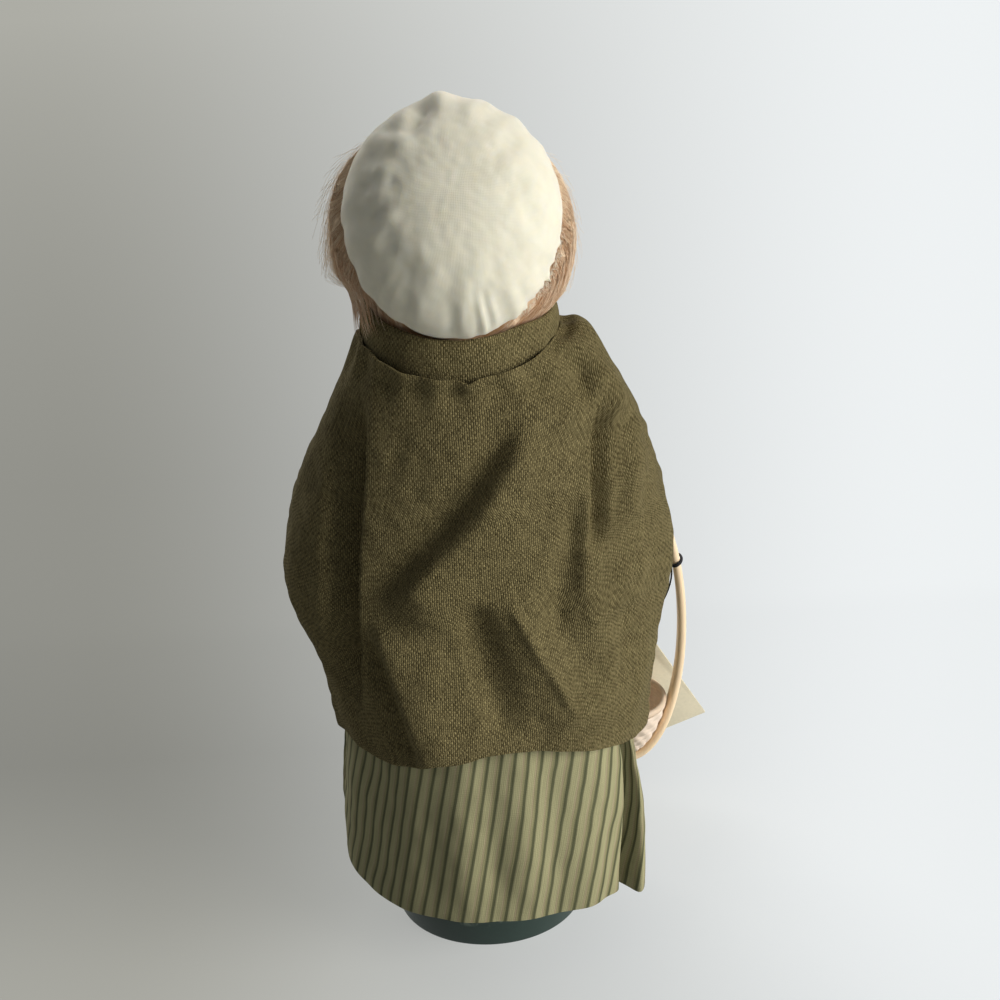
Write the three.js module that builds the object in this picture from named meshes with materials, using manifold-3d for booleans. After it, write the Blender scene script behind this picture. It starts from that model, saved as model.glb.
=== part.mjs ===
// A dressed caroler figure. A wire armature stands in a round wooden base and carries a wound
// paper body, padded arms and a clay head. The figure wears a striped skirt, a wool cape with a
// band collar and a gathered cotton cap, and a cane basket hangs on its right forearm.
// Millimetres, +Z up. The figure faces -Y and its left hand is at +X. The origin is the centre
// of the underside of the base.

import * as THREE from 'three';
import { mergeVertices } from 'three/addons/utils/BufferGeometryUtils.js';
import Module from 'manifold-3d';

const wasm = await Module();
wasm.setup();

const { lerp, degToRad, smoothstep } = THREE.MathUtils;

// Clearances
const FIT = 0.3; // between pieces that touch
const DRAPE = 0.6; // between the cape and the elbows that it hangs on
const TURN_GAP = 2.6; // between the collar and what turns above it

// Base
const BASE_DIA = 75;
const BASE_THICKNESS = 12;
const BASE_ROUND = 2.5;
const BASE_CHAMFER = 0.8;

// Armature
const WIRE_DIA = 2.6;
const LEG_SPACING = 24;
const LEG_HOLE_DEPTH = 8;
const LEG_SOCKET = 16; // leg wire inside the body
const ARM_SOCKET = 14; // arm wire inside the body
const NECK_SOCKET = 15; // neck wire inside the body
const NECK_PIN = 40; // neck wire above the body

// Legs and boots
const BOOT_HEIGHT = 22;
const BOOT_WIDTH = 12;
const BOOT_TOE = 21; // ahead of the leg wire
const BOOT_HEEL = 9; // behind the leg wire
const LEG_LENGTH = 76;
const ANKLE_DIA = 13;
const THIGH_DIA = 19;

// Body: half-widths and half-depths of the wound paper, each with its rise above the one before
const HIP = { rise: 0, width: 21, depth: 15 };
const WAIST = { rise: 52, width: 17.5, depth: 13.5 };
const CHEST = { rise: 38, width: 23, depth: 17.5 };
const SHOULDER = { rise: 18, width: 23, depth: 16 };
const BODY_TOP = { rise: 12, width: 12.5, depth: 11 };
const BODICE_THICKNESS = 1.5;
const BODICE_OVERLAP = 6; // bodice below the waist, inside the skirt

// Arms
const SHOULDER_OUT = 34;
const SHOULDER_BEND = 6; // length of the wire's bend to each side of its corner
const ELBOW_BEND = 15;
const LEFT_ELBOW_OUT = 58;
const RIGHT_ELBOW_OUT = 62;
const ELBOW_DROP = 69; // below the shoulder wire
const ELBOW_BACK = 6;
const LEFT_FOREARM_IN = 32; // degrees towards the middle
const LEFT_FOREARM_LIFT = 9; // degrees
const FOREARM_REACH = 76; // from the elbow to the end of the wire
const SLEEVE_REACH = 68; // from the elbow to the cuff
const SHOULDER_SLEEVE_R = 11;
const ELBOW_SLEEVE_R = 11.6;
const CUFF_R = 8.2;
const MITTEN_LENGTH = 25;
const MITTEN_HALF_WIDTH = 8;
const MITTEN_HALF_DEPTH = 5.5;

// Skirt: half-widths of the hem to each side of the body
const SKIRT_HEM_HEIGHT = 11; // above the base
const SKIRT_THICKNESS = 1.2;
const SKIRT_LEFT = 57;
const SKIRT_RIGHT = 63;
const SKIRT_BACK = 54.5;
const SKIRT_FRONT = 43;
// Folds at the hem: angle from +X towards the back, half-width in degrees, height
const SKIRT_FOLDS = [
  [130, 10, 8], [140, 3.5, -6.5], [148, 5.5, 7], [38, 20, -5], [172, 6, -2],
  [80, 5, 1.2], [103, 5, -1], [300, 9, 2], [262, 9, 2.5], [282, 8, -2], [330, 12, -2],
];

// Collar and cape
const COLLAR_HEIGHT = 10.5;
const COLLAR_THICKNESS = 2.2;
const COLLAR_FLARE = 1.5; // collar over the cape's neck edge
const COLLAR_RISE = 0.6; // and above it
const NECK_HALF_WIDTH = 36;
const NECK_BACK = 34.5;
const NECK_FRONT = 29;
const NECK_RISE = 15; // sides of the neck edge above the top of the body
const NECK_DIP = 7; // fall of the neck edge towards the back
const CAPE_THICKNESS = 1.4;
const CAPE_HEM_BACK = 82; // hem above the base
const CAPE_HEM_LEFT = 74;
const CAPE_HEM_RIGHT = 66;
const CAPE_LEFT_HEM_OUT = 55;
const CAPE_RIGHT_HEM_OUT = 65;
const CAPE_LEFT_SHOULDER = 49;
const CAPE_LEFT_ARM = 65.5;
const CAPE_RIGHT_NECK = 48; // the cape stands out beside the right of the collar
const CAPE_RIGHT_PUFF = 6; // and rises there
const CAPE_RIGHT_SHOULDER = 60.5;
const CAPE_RIGHT_ARM = 73;
const CAPE_BACK_SHOULDER = 43;
const CAPE_BACK_HEM_OUT = 53;
const CAPE_FRONT_CHEST = 34;
const CAPE_FRONT_ELBOW = 60;
const CAPE_FRONT_HEM_OUT = 40;
const CAPE_NECK_GAP = 12; // half the front opening in degrees, at the neck
const CAPE_HEM_GAP = 78; // half the front opening in degrees, from the elbows down
// Folds of the back panel: x and height above the hem of both ends, half-width, height
const CAPE_FOLDS = [
  [-47, 154, -50, 108, 5, 3], [-50, 108, -45, 80, 5, 3.5], [-54, 118, -55, 76, 4.5, -3.5],
  [38, 126, 41.5, 48, 5, -6], [-17, 120, 5, 92, 6, -4.5], [5, 92, 29, 64, 6.5, -5],
  [-2, 58, -4, 20, 8, -3], [-10, 81, -31, 20, 6, 3.5], [29, 50, 12, 0, 9, 3],
  [41, 36, 20, 4, 6, -2.5],
];

// Head, hair and cap
const NECK_R = 9.5;
const NECK_LENGTH = 21; // from the body to the chin
const HEAD_HALF_WIDTH = 25;
const HEAD_HALF_DEPTH = 27;
const HEAD_HALF_HEIGHT = 32;
const HAIR_HALF_WIDTH = 44;
const HAIR_HALF_DEPTH = 35;
const HAIR_HALF_HEIGHT = 46;
const HAIR_DROP = 6; // centre of the hair below the centre of the head
const HAIR_TUCK = 5.6; // from the collar's outer face to the hair inside it
const FACE_HALF_WIDTH = 19;
const FACE_HALF_HEIGHT = 25;
const CAP_LEAN = 33; // degrees that the back of the cap looks up
const CAP_HALF_WIDTH = 38.3;
const CAP_TOP = 41; // rim above its centre
const CAP_BOTTOM = 44.5; // rim below its centre
const CAP_DEPTH = 31;
const CAP_BACK = 9.5; // centre of the cap's rim behind the centre of the head
const CAP_RISE = 6; // and above it
const CAP_THICKNESS = 1.2;
const CAP_GATHERS = 15;
const CAP_GATHER_HEIGHT = 0.9;

// Basket
const BASKET_FORWARD = 54; // hoop in front of the elbow
const HOOP_HALF_WIDTH = 23.3;
const HOOP_HALF_HEIGHT = 64;
const CANE_THICKNESS = 3.4;
const CANE_WIDTH = 5;
const BOWL_HEIGHT = 24;
const BOWL_HALF_DEPTH = 19;
const BOWL_WALL = 1.6;
const RIM_HEIGHT = 3;
const RIM_WIDTH = 2.4;

// Card on its thread
const THREAD_DIA = 1;
const THREAD_HEIGHT = 27; // knot above the middle of the hoop
const CARD_LENGTH = 64;
const CARD_WIDTH = 42;
const CARD_THICKNESS = 0.9;
const CARD_LEAN = 16; // degrees
const CARD_TURN = 27; // degrees, in its own plane
const CARD_OUT = 13; // lower corner outside the hoop
const CARD_CORNER_HEIGHT = 3; // lower corner above the bottom of the hoop
const CARD_HOLE_DIA = 2.4;
const CARD_HOLE_INSET = 5;
const KNOT_DIA = 3.4;

// Heights and places that follow from the sizes above
const wireR = WIRE_DIA / 2;
const boreR = wireR + FIT;
const baseTop = BASE_THICKNESS;
const bootTop = baseTop + FIT + BOOT_HEIGHT;
const legBottom = bootTop + FIT;
const legTop = legBottom + LEG_LENGTH;
const hip = legTop + FIT;
const waist = hip + WAIST.rise;
const chest = waist + CHEST.rise;
const shoulder = chest + SHOULDER.rise;
const bodyTop = shoulder + BODY_TOP.rise;
const forearm = shoulder - ELBOW_DROP;
const headBottom = bodyTop + FIT;
const headZ = headBottom + NECK_LENGTH + HEAD_HALF_HEIGHT;
const neckEdge = bodyTop + NECK_RISE;
const skirtHem = baseTop + SKIRT_HEM_HEIGHT;
const skirtTop = waist;
const hoopY = ELBOW_BACK - BASKET_FORWARD;
const hoopX = -RIGHT_ELBOW_OUT;
const hoopZ = forearm + CUFF_R + FIT + CANE_THICKNESS / 2 - HOOP_HALF_HEIGHT;

const figure = new THREE.Group();

// Closed surfaces from grids of points

const flip = (points) => points.map((p, i) => points[i % 3 === 1 ? i + 1 : i % 3 === 2 ? i - 1 : i]);

function gridFaces(rows, wrap) {
  const faces = [];
  const count = rows[0].length;
  for (let i = 0; i + 1 < rows.length; i++) {
    for (let j = 0; j < (wrap ? count : count - 1); j++) {
      const k = (j + 1) % count;
      faces.push(rows[i][j], rows[i][k], rows[i + 1][k], rows[i][j], rows[i + 1][k], rows[i + 1][j]);
    }
  }
  return faces;
}

// One closed body with its faces pointing out, from triangles that share their points.
function closed(faces) {
  let volume = 0;
  for (let i = 0; i < faces.length; i += 3) {
    volume += faces[i].dot(new THREE.Vector3().crossVectors(faces[i + 1], faces[i + 2]));
  }
  return new THREE.BufferGeometry().setFromPoints(volume < 0 ? flip(faces) : faces);
}

// A solid through rings of points, with flat ends.
function loft(rings) {
  const faces = gridFaces(rings, true);
  const ends = [[rings[0], true], [rings[rings.length - 1], false]];
  for (const [ring, first] of ends) {
    const middle = ring.reduce((sum, p) => sum.add(p), new THREE.Vector3()).divideScalar(ring.length);
    ring.forEach((p, j) => {
      const q = ring[(j + 1) % ring.length];
      faces.push(middle, first ? q : p, first ? p : q);
    });
  }
  return closed(faces);
}

// A wall between two grids: a tube when the columns wrap round, otherwise a sheet.
function wall(outer, inner, wrap) {
  const last = outer.length - 1;
  const faces = [
    ...gridFaces(outer, wrap), ...flip(gridFaces(inner, wrap)),
    ...gridFaces([inner[0], outer[0]], wrap), ...gridFaces([outer[last], inner[last]], wrap),
  ];
  if (!wrap) {
    const column = (rows, j) => rows.map((row) => row.at(j));
    faces.push(
      ...gridFaces([column(outer, 0), column(inner, 0)], false),
      ...gridFaces([column(inner, -1), column(outer, -1)], false),
    );
  }
  return closed(faces);
}

// A closed ring of sections.
const ringOf = (sections) => closed(gridFaces([...sections, sections[0]], true));

const range = (count, make) => Array.from({ length: count }, (_, i) => make(i));
const turn = (count, make) => range(count, (i) => make((i / count) * 2 * Math.PI));
const ellipseRing = (sides, width, depth, z, x = 0, y = 0) => turn(sides, (a) =>
  new THREE.Vector3(x + width * Math.cos(a), y + depth * Math.sin(a), z));

// An oval ring of points in the plane of two directions
const section = (centre, out, across, halfThick, halfWide, sides) => turn(sides, (b) => centre.clone()
  .addScaledVector(out, halfThick * Math.cos(b)).addScaledVector(across, halfWide * Math.sin(b)));

// A smooth curve through a few [place, value] pairs.
function smooth(pairs) {
  const slope = pairs.map((p, i) => {
    const [a, b] = [pairs[Math.max(i - 1, 0)], pairs[Math.min(i + 1, pairs.length - 1)]];
    return (b[1] - a[1]) / (b[0] - a[0]);
  });
  return (t) => {
    const i = Math.max(0, Math.min(pairs.length - 2, pairs.findIndex((p) => p[0] > t) - 1));
    const at = t >= pairs.at(-1)[0] ? pairs.length - 2 : i;
    const [[t0, v0], [t1, v1]] = [pairs[at], pairs[at + 1]];
    const step = t1 - t0;
    const u = Math.max(0, Math.min(1, (t - t0) / step));
    return v0 * (1 + 2 * u) * (1 - u) ** 2 + slope[at] * step * u * (1 - u) ** 2
      + v1 * u * u * (3 - 2 * u) + slope[at + 1] * step * u * u * (u - 1);
  };
}

// Joins and cuts

function solid(geometry) {
  const plain = geometry.clone();
  plain.deleteAttribute('normal');
  plain.deleteAttribute('uv');
  const merged = mergeVertices(plain);
  const index = merged.index.array;
  const whole = [];
  for (let i = 0; i < index.length; i += 3) {
    const [a, b, c] = index.slice(i, i + 3);
    if (a !== b && b !== c && c !== a) whole.push(a, b, c);
  }
  return new wasm.Manifold(new wasm.Mesh({
    numProp: 3,
    vertProperties: merged.attributes.position.array,
    triVerts: new Uint32Array(whole),
  }));
}

function geometryOf(manifold) {
  const mesh = manifold.getMesh();
  const points = new Float32Array(mesh.numVert * 3);
  for (let i = 0; i < mesh.numVert; i++) {
    points.set(mesh.vertProperties.subarray(i * mesh.numProp, i * mesh.numProp + 3), i * 3);
  }
  const geometry = new THREE.BufferGeometry();
  geometry.setAttribute('position', new THREE.BufferAttribute(points, 3));
  geometry.setIndex(new THREE.BufferAttribute(new Uint32Array(mesh.triVerts), 1));
  return geometry;
}

const join = (...parts) => parts.map(solid).reduce((a, b) => a.add(b));
const cut = (whole, ...tools) => tools.map(solid).reduce((a, b) => a.subtract(b), whole);

const upright = (radius, bottom, top, x = 0, y = 0, sides = 8) =>
  loft([ellipseRing(sides, radius, radius, bottom, x, y), ellipseRing(sides, radius, radius, top, x, y)]);

function ball(width, depth, height, [x, y, z], around = 24, down = 14) {
  const geometry = new THREE.SphereGeometry(1, around, down);
  return geometry.rotateX(Math.PI / 2).scale(width, depth, height).translate(x, y, z);
}

function revolve(profile, sides) {
  return new THREE.LatheGeometry(profile.map(([r, z]) => new THREE.Vector2(r, z)), sides)
    .rotateX(Math.PI / 2);
}

// Materials

const paint = (color, roughness, metalness = 0) =>
  new THREE.MeshStandardMaterial({ color, roughness, metalness });
const GREEN_PAINT = paint('#24362f', 0.45);
const BLACK_FELT = paint('#26231f', 0.9);
const PAPER = paint('#c9bda4', 0.9);
const STEEL = paint('#8f9296', 0.4, 0.9);
const CLAY = paint('#dcae93', 0.55);
const MOHAIR = paint('#b98455', 0.75);
const COTTON = paint('#ece6d6', 0.85);
const WOOL = paint('#6a5d36', 0.95);
const TICKING = paint('#8d8763', 0.9);
const BODICE_CLOTH = paint('#d8cfb8', 0.9);
const CANE = paint('#e3c796', 0.6);
const SPLINT = paint('#7c5f3a', 0.7);
const THREAD = paint('#1d1d20', 0.8);
const CARD = paint('#cdc3a5', 0.85);

function add(name, geometry, material, parent = figure) {
  const plain = solid(geometry);
  const mesh = new THREE.Mesh(geometryOf(plain), material);
  mesh.name = name;
  mesh.geometry.computeVertexNormals();
  parent.add(mesh);
  return mesh;
}

// Base, with a blind hole for each leg wire

const legX = [LEG_SPACING / 2, -LEG_SPACING / 2];
const baseR = BASE_DIA / 2;
const baseEdge = range(5, (i) => {
  const a = (i / 4) * Math.PI / 2;
  return [baseR - BASE_ROUND * (1 - Math.cos(a)), baseTop - BASE_ROUND * (1 - Math.sin(a))];
});
const disc = revolve(
  [[0, 0], [baseR - BASE_CHAMFER, 0], [baseR, BASE_CHAMFER], ...baseEdge, [0, baseTop]], 40);
const legHoles = legX.map((x) => upright(boreR, baseTop - LEG_HOLE_DEPTH - FIT, baseTop + 1, x));
add('base', geometryOf(cut(solid(disc), ...legHoles)), GREEN_PAINT);

// Legs: a wire, a boot on the base and wound paper above it

const bootSole = baseTop + FIT;
// Foot sections from heel to toe: place along the foot, share of the width and of the height
const FOOT = [
  [1, 0.6, 0.3], [0.7, 0.9, 0.6], [0, 0.95, 0.72], [-0.35, 1, 0.52], [-0.8, 0.92, 0.36], [-1, 0.5, 0.2],
];

function footRing([place, width, height]) {
  const y = place > 0 ? place * BOOT_HEEL : place * BOOT_TOE;
  return turn(14, (a) => new THREE.Vector3(
    width * BOOT_WIDTH / 2 * Math.cos(a), y, bootSole + Math.max(0, height * BOOT_HEIGHT * Math.sin(a))));
}

function boot(x) {
  const foot = loft(FOOT.map(footRing));
  const half = BOOT_WIDTH / 2;
  const shaft = loft([
    ellipseRing(14, half * 0.9, half * 1.2, bootSole + BOOT_HEIGHT * 0.3),
    ellipseRing(14, half * 0.95, half * 1.1, bootSole + BOOT_HEIGHT * 0.7),
    ellipseRing(14, half * 1.08, half * 1.18, bootTop),
  ]);
  const bore = upright(boreR, bootSole - 1, bootTop + 1);
  return geometryOf(cut(join(foot, shaft), bore)).translate(x, 0, 0);
}

['left', 'right'].forEach((side, i) => {
  const x = legX[i];
  add(`${side}_leg_wire`, upright(wireR, baseTop - LEG_HOLE_DEPTH, hip + LEG_SOCKET - FIT, x), STEEL);
  add(`${side}_boot`, boot(x), BLACK_FELT);
  const leg = [[0, ANKLE_DIA], [0.35, lerp(ANKLE_DIA, THIGH_DIA, 0.6)], [1, THIGH_DIA]];
  add(`${side}_leg`, wall(
    leg.map(([u, dia]) => ellipseRing(12, dia / 2, dia / 2, lerp(legBottom, legTop, u), x)),
    leg.map(([u]) => ellipseRing(12, boreR, boreR, lerp(legBottom, legTop, u), x)), true), PAPER);
});

// Body outline: half-width and half-depth at a height

const sections = [[hip, HIP], [waist, WAIST], [chest, CHEST], [shoulder, SHOULDER], [bodyTop, BODY_TOP]];
const bodyShape = {
  width: smooth(sections.map(([z, { width }]) => [z, width])),
  depth: smooth(sections.map(([z, { depth }]) => [z, depth])),
};
const bodiceBottom = waist - BODICE_OVERLAP;
const bodiceTop = lerp(shoulder, bodyTop, 0.4);
const between = (from, to, parts) => range(parts, (i) => lerp(from, to, i / parts));
const bodyHeights = [
  ...between(hip, bodiceBottom, 3), bodiceBottom, ...between(waist, chest, 3),
  ...between(chest, shoulder, 2), shoulder, bodiceTop, bodyTop,
];

// Arms: one path from the body to the wrist, shared by the wire, the sleeve and the mitten

const ARM_SIDES = 8;
const ARM_STEPS = 24;

// The corners of an arm: body, shoulder, elbow and the end of the wire
function armCorners(side, elbowOut, inward, lift) {
  const ahead = new THREE.Vector3(
    -side * Math.sin(inward) * Math.cos(lift), -Math.cos(inward) * Math.cos(lift), Math.sin(lift));
  const elbow = new THREE.Vector3(side * elbowOut, ELBOW_BACK, forearm);
  return {
    root: new THREE.Vector3(side * (SHOULDER.width - ARM_SOCKET), 0, shoulder),
    top: new THREE.Vector3(side * SHOULDER_OUT, 0, shoulder),
    elbow, ahead, end: elbow.clone().addScaledVector(ahead, FOREARM_REACH),
  };
}

function armPath({ root, top, elbow, end }) {
  const from = (at, to, trim) => at.clone().add(to.clone().sub(at).setLength(trim));
  const path = new THREE.CurvePath();
  const [a, b] = [from(top, root, SHOULDER_BEND), from(top, elbow, SHOULDER_BEND)];
  const [c, d] = [from(elbow, top, ELBOW_BEND), from(elbow, end, ELBOW_BEND)];
  path.add(new THREE.LineCurve3(root, a));
  path.add(new THREE.QuadraticBezierCurve3(a, top, b));
  path.add(new THREE.LineCurve3(b, c));
  path.add(new THREE.QuadraticBezierCurve3(c, elbow, d));
  path.add(new THREE.LineCurve3(d, end));
  return path;
}

// Rings round the arm path at some stops. Radius gives the radius at a place on the path.
function armRings(path, stops, radius) {
  let normal = new THREE.Vector3(0, 1, 0);
  return stops.map((u) => {
    const centre = path.getPointAt(u);
    const along = path.getTangentAt(u);
    normal = normal.clone().addScaledVector(along, -normal.dot(along)).normalize();
    const r = radius(centre);
    return section(centre, normal, new THREE.Vector3().crossVectors(along, normal), r, r, ARM_SIDES);
  });
}

const sleeveStart = Math.max(...bodyHeights.map(bodyShape.width)) + BODICE_THICKNESS + 3 * FIT;

function sleeveRadius(point, { elbow, ahead }) {
  const along = point.clone().sub(elbow).dot(ahead);
  const upper = lerp(ELBOW_SLEEVE_R, SHOULDER_SLEEVE_R, smoothstep(point.z, forearm, shoulder));
  const short = Math.max(0, 1 - (Math.abs(point.x) - sleeveStart) / SHOULDER_SLEEVE_R);
  const rounded = upper * lerp(0.5, 1, Math.sqrt(1 - Math.min(1, short) ** 2));
  return lerp(rounded, CUFF_R, smoothstep(along, ELBOW_SLEEVE_R, BASKET_FORWARD - CANE_WIDTH));
}

// A mitten along -Y from its cuff: places along the hand, and shares of its width and depth there
const HAND = [
  [0, 0.86, 1], [0.15, 0.84, 0.96], [0.4, 1, 1], [0.65, 1, 0.9], [0.86, 0.78, 0.7], [1, 0.4, 0.35],
];

function mitten(side) {
  const palm = loft(HAND.map(([u, w, d]) => turn(12, (a) => new THREE.Vector3(
    w * MITTEN_HALF_DEPTH * Math.cos(a), -u * MITTEN_LENGTH, d * MITTEN_HALF_WIDTH * Math.sin(a)))));
  const thumb = ball(2.6, 6.4, 2.8, [0, 0, 0], 10, 8).rotateX(degToRad(35))
    .translate(-side * 1.5, -MITTEN_LENGTH * 0.42, MITTEN_HALF_WIDTH * 0.95);
  return geometryOf(join(palm, thumb));
}

const armBores = [];
[['left', 1, LEFT_ELBOW_OUT, LEFT_FOREARM_IN, LEFT_FOREARM_LIFT], ['right', -1, RIGHT_ELBOW_OUT, 0, 0]]
  .forEach(([side, sign, elbowOut, inward, lift]) => {
    const arm = armCorners(sign, elbowOut, degToRad(inward), degToRad(lift));
    const path = armPath(arm);
    const length = path.getLength();
    const start = (sleeveStart - SHOULDER.width + ARM_SOCKET) / length;
    const cuff = 1 - (FOREARM_REACH - SLEEVE_REACH) / length;
    const clothed = range(ARM_STEPS + 1, (i) => lerp(start, cuff, i / ARM_STEPS));
    const bore = armRings(path, [0, ...clothed, 1], () => boreR);
    add(`${side}_arm_wire`, loft(armRings(path, [0, ...clothed, 1], () => wireR)), STEEL);
    add(`${side}_sleeve`, wall(
      armRings(path, clothed, (p) => sleeveRadius(p, arm)), bore.slice(1, -1), true), WOOL);
    const hand = mitten(sign)
      .applyQuaternion(new THREE.Quaternion().setFromUnitVectors(new THREE.Vector3(0, -1, 0), arm.ahead))
      .translate(...path.getPointAt(cuff).addScaledVector(arm.ahead, FIT));
    const wireRoom = loft([...bore, bore.at(-1).map((p) => p.clone().addScaledVector(arm.ahead, FIT))]);
    add(`${side}_mitten`, geometryOf(cut(solid(hand), wireRoom)), BLACK_FELT);
    armBores.push(wireRoom);
  });

// Body and bodice

const bodyRing = (z, extra) => ellipseRing(20, bodyShape.width(z) + extra, bodyShape.depth(z) + extra, z);
const body = loft(bodyHeights.map((z) => bodyRing(z, 0)));
const neckBore = upright(boreR, bodyTop - NECK_SOCKET - FIT, bodyTop + 1);
add('body_core', geometryOf(cut(solid(body), ...armBores, neckBore,
  ...legX.map((x) => upright(boreR, hip - 1, hip + LEG_SOCKET, x)))), PAPER);
add('neck_wire', upright(wireR, bodyTop - NECK_SOCKET, bodyTop + NECK_PIN), STEEL);

const bodiceHeights = bodyHeights.filter((z) => z >= bodiceBottom && z <= bodiceTop);
const bodiceRings = (extra) => bodiceHeights.map((z) => bodyRing(z, extra));
const bodice = wall(bodiceRings(FIT + BODICE_THICKNESS), bodiceRings(FIT), true);
add('bodice', geometryOf(cut(solid(bodice), ...armBores)), BODICE_CLOTH);

// Cloth surfaces: a point of the outer face, and the wall that lies under it

function normalAt(point, s, t) {
  const step = 0.004;
  const across = point(s + step, t).sub(point(s - step, t));
  const down = point(s, Math.min(t + step, 1)).sub(point(s, Math.max(t - step, 0)));
  return across.cross(down).normalize();
}

function clothGrids(point, columns, rows, thickness, wrap) {
  const grid = (inset) => range(rows + 1, (i) => range(wrap ? columns : columns + 1, (j) => {
    const [s, t] = [j / columns, i / rows];
    return point(s, t).addScaledVector(normalAt(point, s, t), inset);
  }));
  const outward = normalAt(point, 0.5, 0.5).dot(point(0.5, 0.5).setZ(0)) > 0 ? 1 : -1;
  return [grid(0), grid(-outward * thickness)];
}

// Share of a fold at a distance from its ridge
const bump = (distance, width) => Math.exp(-((distance / width) ** 2));

// An oval plan with its own half-width to each side. A power below 1 squares its front corners.
function plan(angle, left, right, back, front, power = 1) {
  const [c, s] = [Math.cos(angle), Math.sin(angle)];
  const square = (v) => (s < 0 ? Math.sign(v) * Math.abs(v) ** power : v);
  return new THREE.Vector3(square(c) * (c > 0 ? left : right), square(s) * (s > 0 ? back : front), 0);
}

// Skirt: gathered on the bodice, swelling to the hem

const waistGrip = BODICE_THICKNESS + 2 * FIT + SKIRT_THICKNESS + 0.2;
const skirtSwell = smooth([[0, 0], [0.14, 0.4], [0.3, 0.71], [0.5, 0.85], [0.72, 0.945], [1, 1]]);

function skirtPoint(s, t) {
  const angle = s * 2 * Math.PI;
  const top = plan(angle, WAIST.width + waistGrip, WAIST.width + waistGrip,
    WAIST.depth + waistGrip, WAIST.depth + waistGrip);
  const hem = plan(angle, SKIRT_LEFT, SKIRT_RIGHT, SKIRT_BACK, SKIRT_FRONT);
  const folds = SKIRT_FOLDS.reduce((sum, [place, width, height]) => {
    const apart = THREE.MathUtils.euclideanModulo(s * 360 - place + 180, 360) - 180;
    return sum + height * bump(apart, width);
  }, 0);
  const point = top.lerp(hem, skirtSwell(t));
  point.setLength(point.length() + folds * t ** 2);
  return point.setZ(lerp(skirtTop, skirtHem, t));
}

add('skirt', wall(...clothGrids(skirtPoint, 54, 8, SKIRT_THICKNESS, true), true), TICKING);

// Cape: hangs from the neck edge over the elbows, open in front

const elbowCover = ELBOW_SLEEVE_R + DRAPE + CAPE_THICKNESS;
const leftElbow = LEFT_ELBOW_OUT + elbowCover;
const rightElbow = RIGHT_ELBOW_OUT + elbowCover;
const capeLeft = smooth([[0, NECK_HALF_WIDTH], [0.17, CAPE_LEFT_SHOULDER], [0.4, CAPE_LEFT_ARM],
  [0.58, leftElbow], [0.8, lerp(CAPE_LEFT_HEM_OUT, leftElbow, 0.42)], [1, CAPE_LEFT_HEM_OUT]]);
const capeRight = smooth([[0, NECK_HALF_WIDTH], [0.05, CAPE_RIGHT_NECK], [0.16, CAPE_RIGHT_SHOULDER],
  [0.38, CAPE_RIGHT_ARM], [0.54, rightElbow], [0.76, lerp(CAPE_RIGHT_HEM_OUT, rightElbow, 0.5)],
  [1, CAPE_RIGHT_HEM_OUT]]);
const capeBack = smooth([[0, NECK_BACK], [0.2, CAPE_BACK_SHOULDER], [1, CAPE_BACK_HEM_OUT]]);
const capeFront = smooth([
  [0, NECK_FRONT], [0.25, CAPE_FRONT_CHEST], [0.52, CAPE_FRONT_ELBOW], [1, CAPE_FRONT_HEM_OUT],
]);

function segmentDistance(x, z, [x0, z0, x1, z1]) {
  const [dx, dz] = [x1 - x0, z1 - z0];
  const u = Math.max(0, Math.min(1, ((x - x0) * dx + (z - z0) * dz) / (dx * dx + dz * dz)));
  return Math.hypot(x - x0 - u * dx, z - z0 - u * dz);
}

const neckHeight = (y) => neckEdge - NECK_DIP * (y / NECK_BACK) ** 2;

const neckPlan = (angle, extra) => plan(
  angle, NECK_HALF_WIDTH + extra, NECK_HALF_WIDTH + extra, NECK_BACK + extra, NECK_FRONT + extra);

function capePoint(s, down) {
  const t = down ** 1.3; // rows lie closer together near the neck
  const gap = lerp(CAPE_NECK_GAP, CAPE_HEM_GAP, smoothstep(t, 0.08, 0.55));
  const angle = degToRad(lerp(-90 + gap, 270 - gap, s));
  const [c, back] = [Math.cos(angle), Math.sin(angle)];
  const square = lerp(1, 0.5, smoothstep(t, 0, 0.45));
  const point = plan(angle, capeLeft(t), capeRight(t), capeBack(t), capeFront(t), square);
  const side = c > 0 ? CAPE_HEM_LEFT : CAPE_HEM_RIGHT;
  const hem = baseTop + lerp(side, CAPE_HEM_BACK, Math.max(0, back) ** 1.5);
  const neck = neckHeight(neckPlan(angle, 0).y);
  const z = lerp(neck, hem, t);
  const folds = CAPE_FOLDS.reduce((sum, fold) =>
    sum + fold[5] * bump(segmentDistance(point.x, z - baseTop - CAPE_HEM_BACK, fold), fold[4]), 0);
  point.setLength(point.length() + folds * smoothstep(back, 0.1, 0.5) * smoothstep(t, 0, 0.15));
  const puff = CAPE_RIGHT_PUFF * bump(angle - Math.PI * 0.97, 0.5) * bump(t - 0.045, 0.045);
  return point.setZ(z + puff * smoothstep(t, 0, 0.03));
}

add('cape', wall(...clothGrids(capePoint, 40, 12, CAPE_THICKNESS, false), false), WOOL);

// Collar: a band that stands on the cape's neck edge

function collarPoint(angle, t, inset) {
  const point = neckPlan(angle, COLLAR_FLARE * (1 - t) ** 2 - inset);
  return point.setZ(neckHeight(point.y) + FIT + COLLAR_RISE + t * COLLAR_HEIGHT);
}

const collarGrid = (inset) => range(4, (i) => turn(32, (a) => collarPoint(a, i / 3, inset)));
add('collar', wall(collarGrid(0), collarGrid(COLLAR_THICKNESS), true), WOOL);

// Head, with the neck that stands on the body

const headGroup = new THREE.Group();
headGroup.position.set(0, 0, headZ);
figure.add(headGroup);

const headHole = upright(boreR, headBottom - headZ - 1, bodyTop + NECK_PIN + FIT - headZ);
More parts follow.
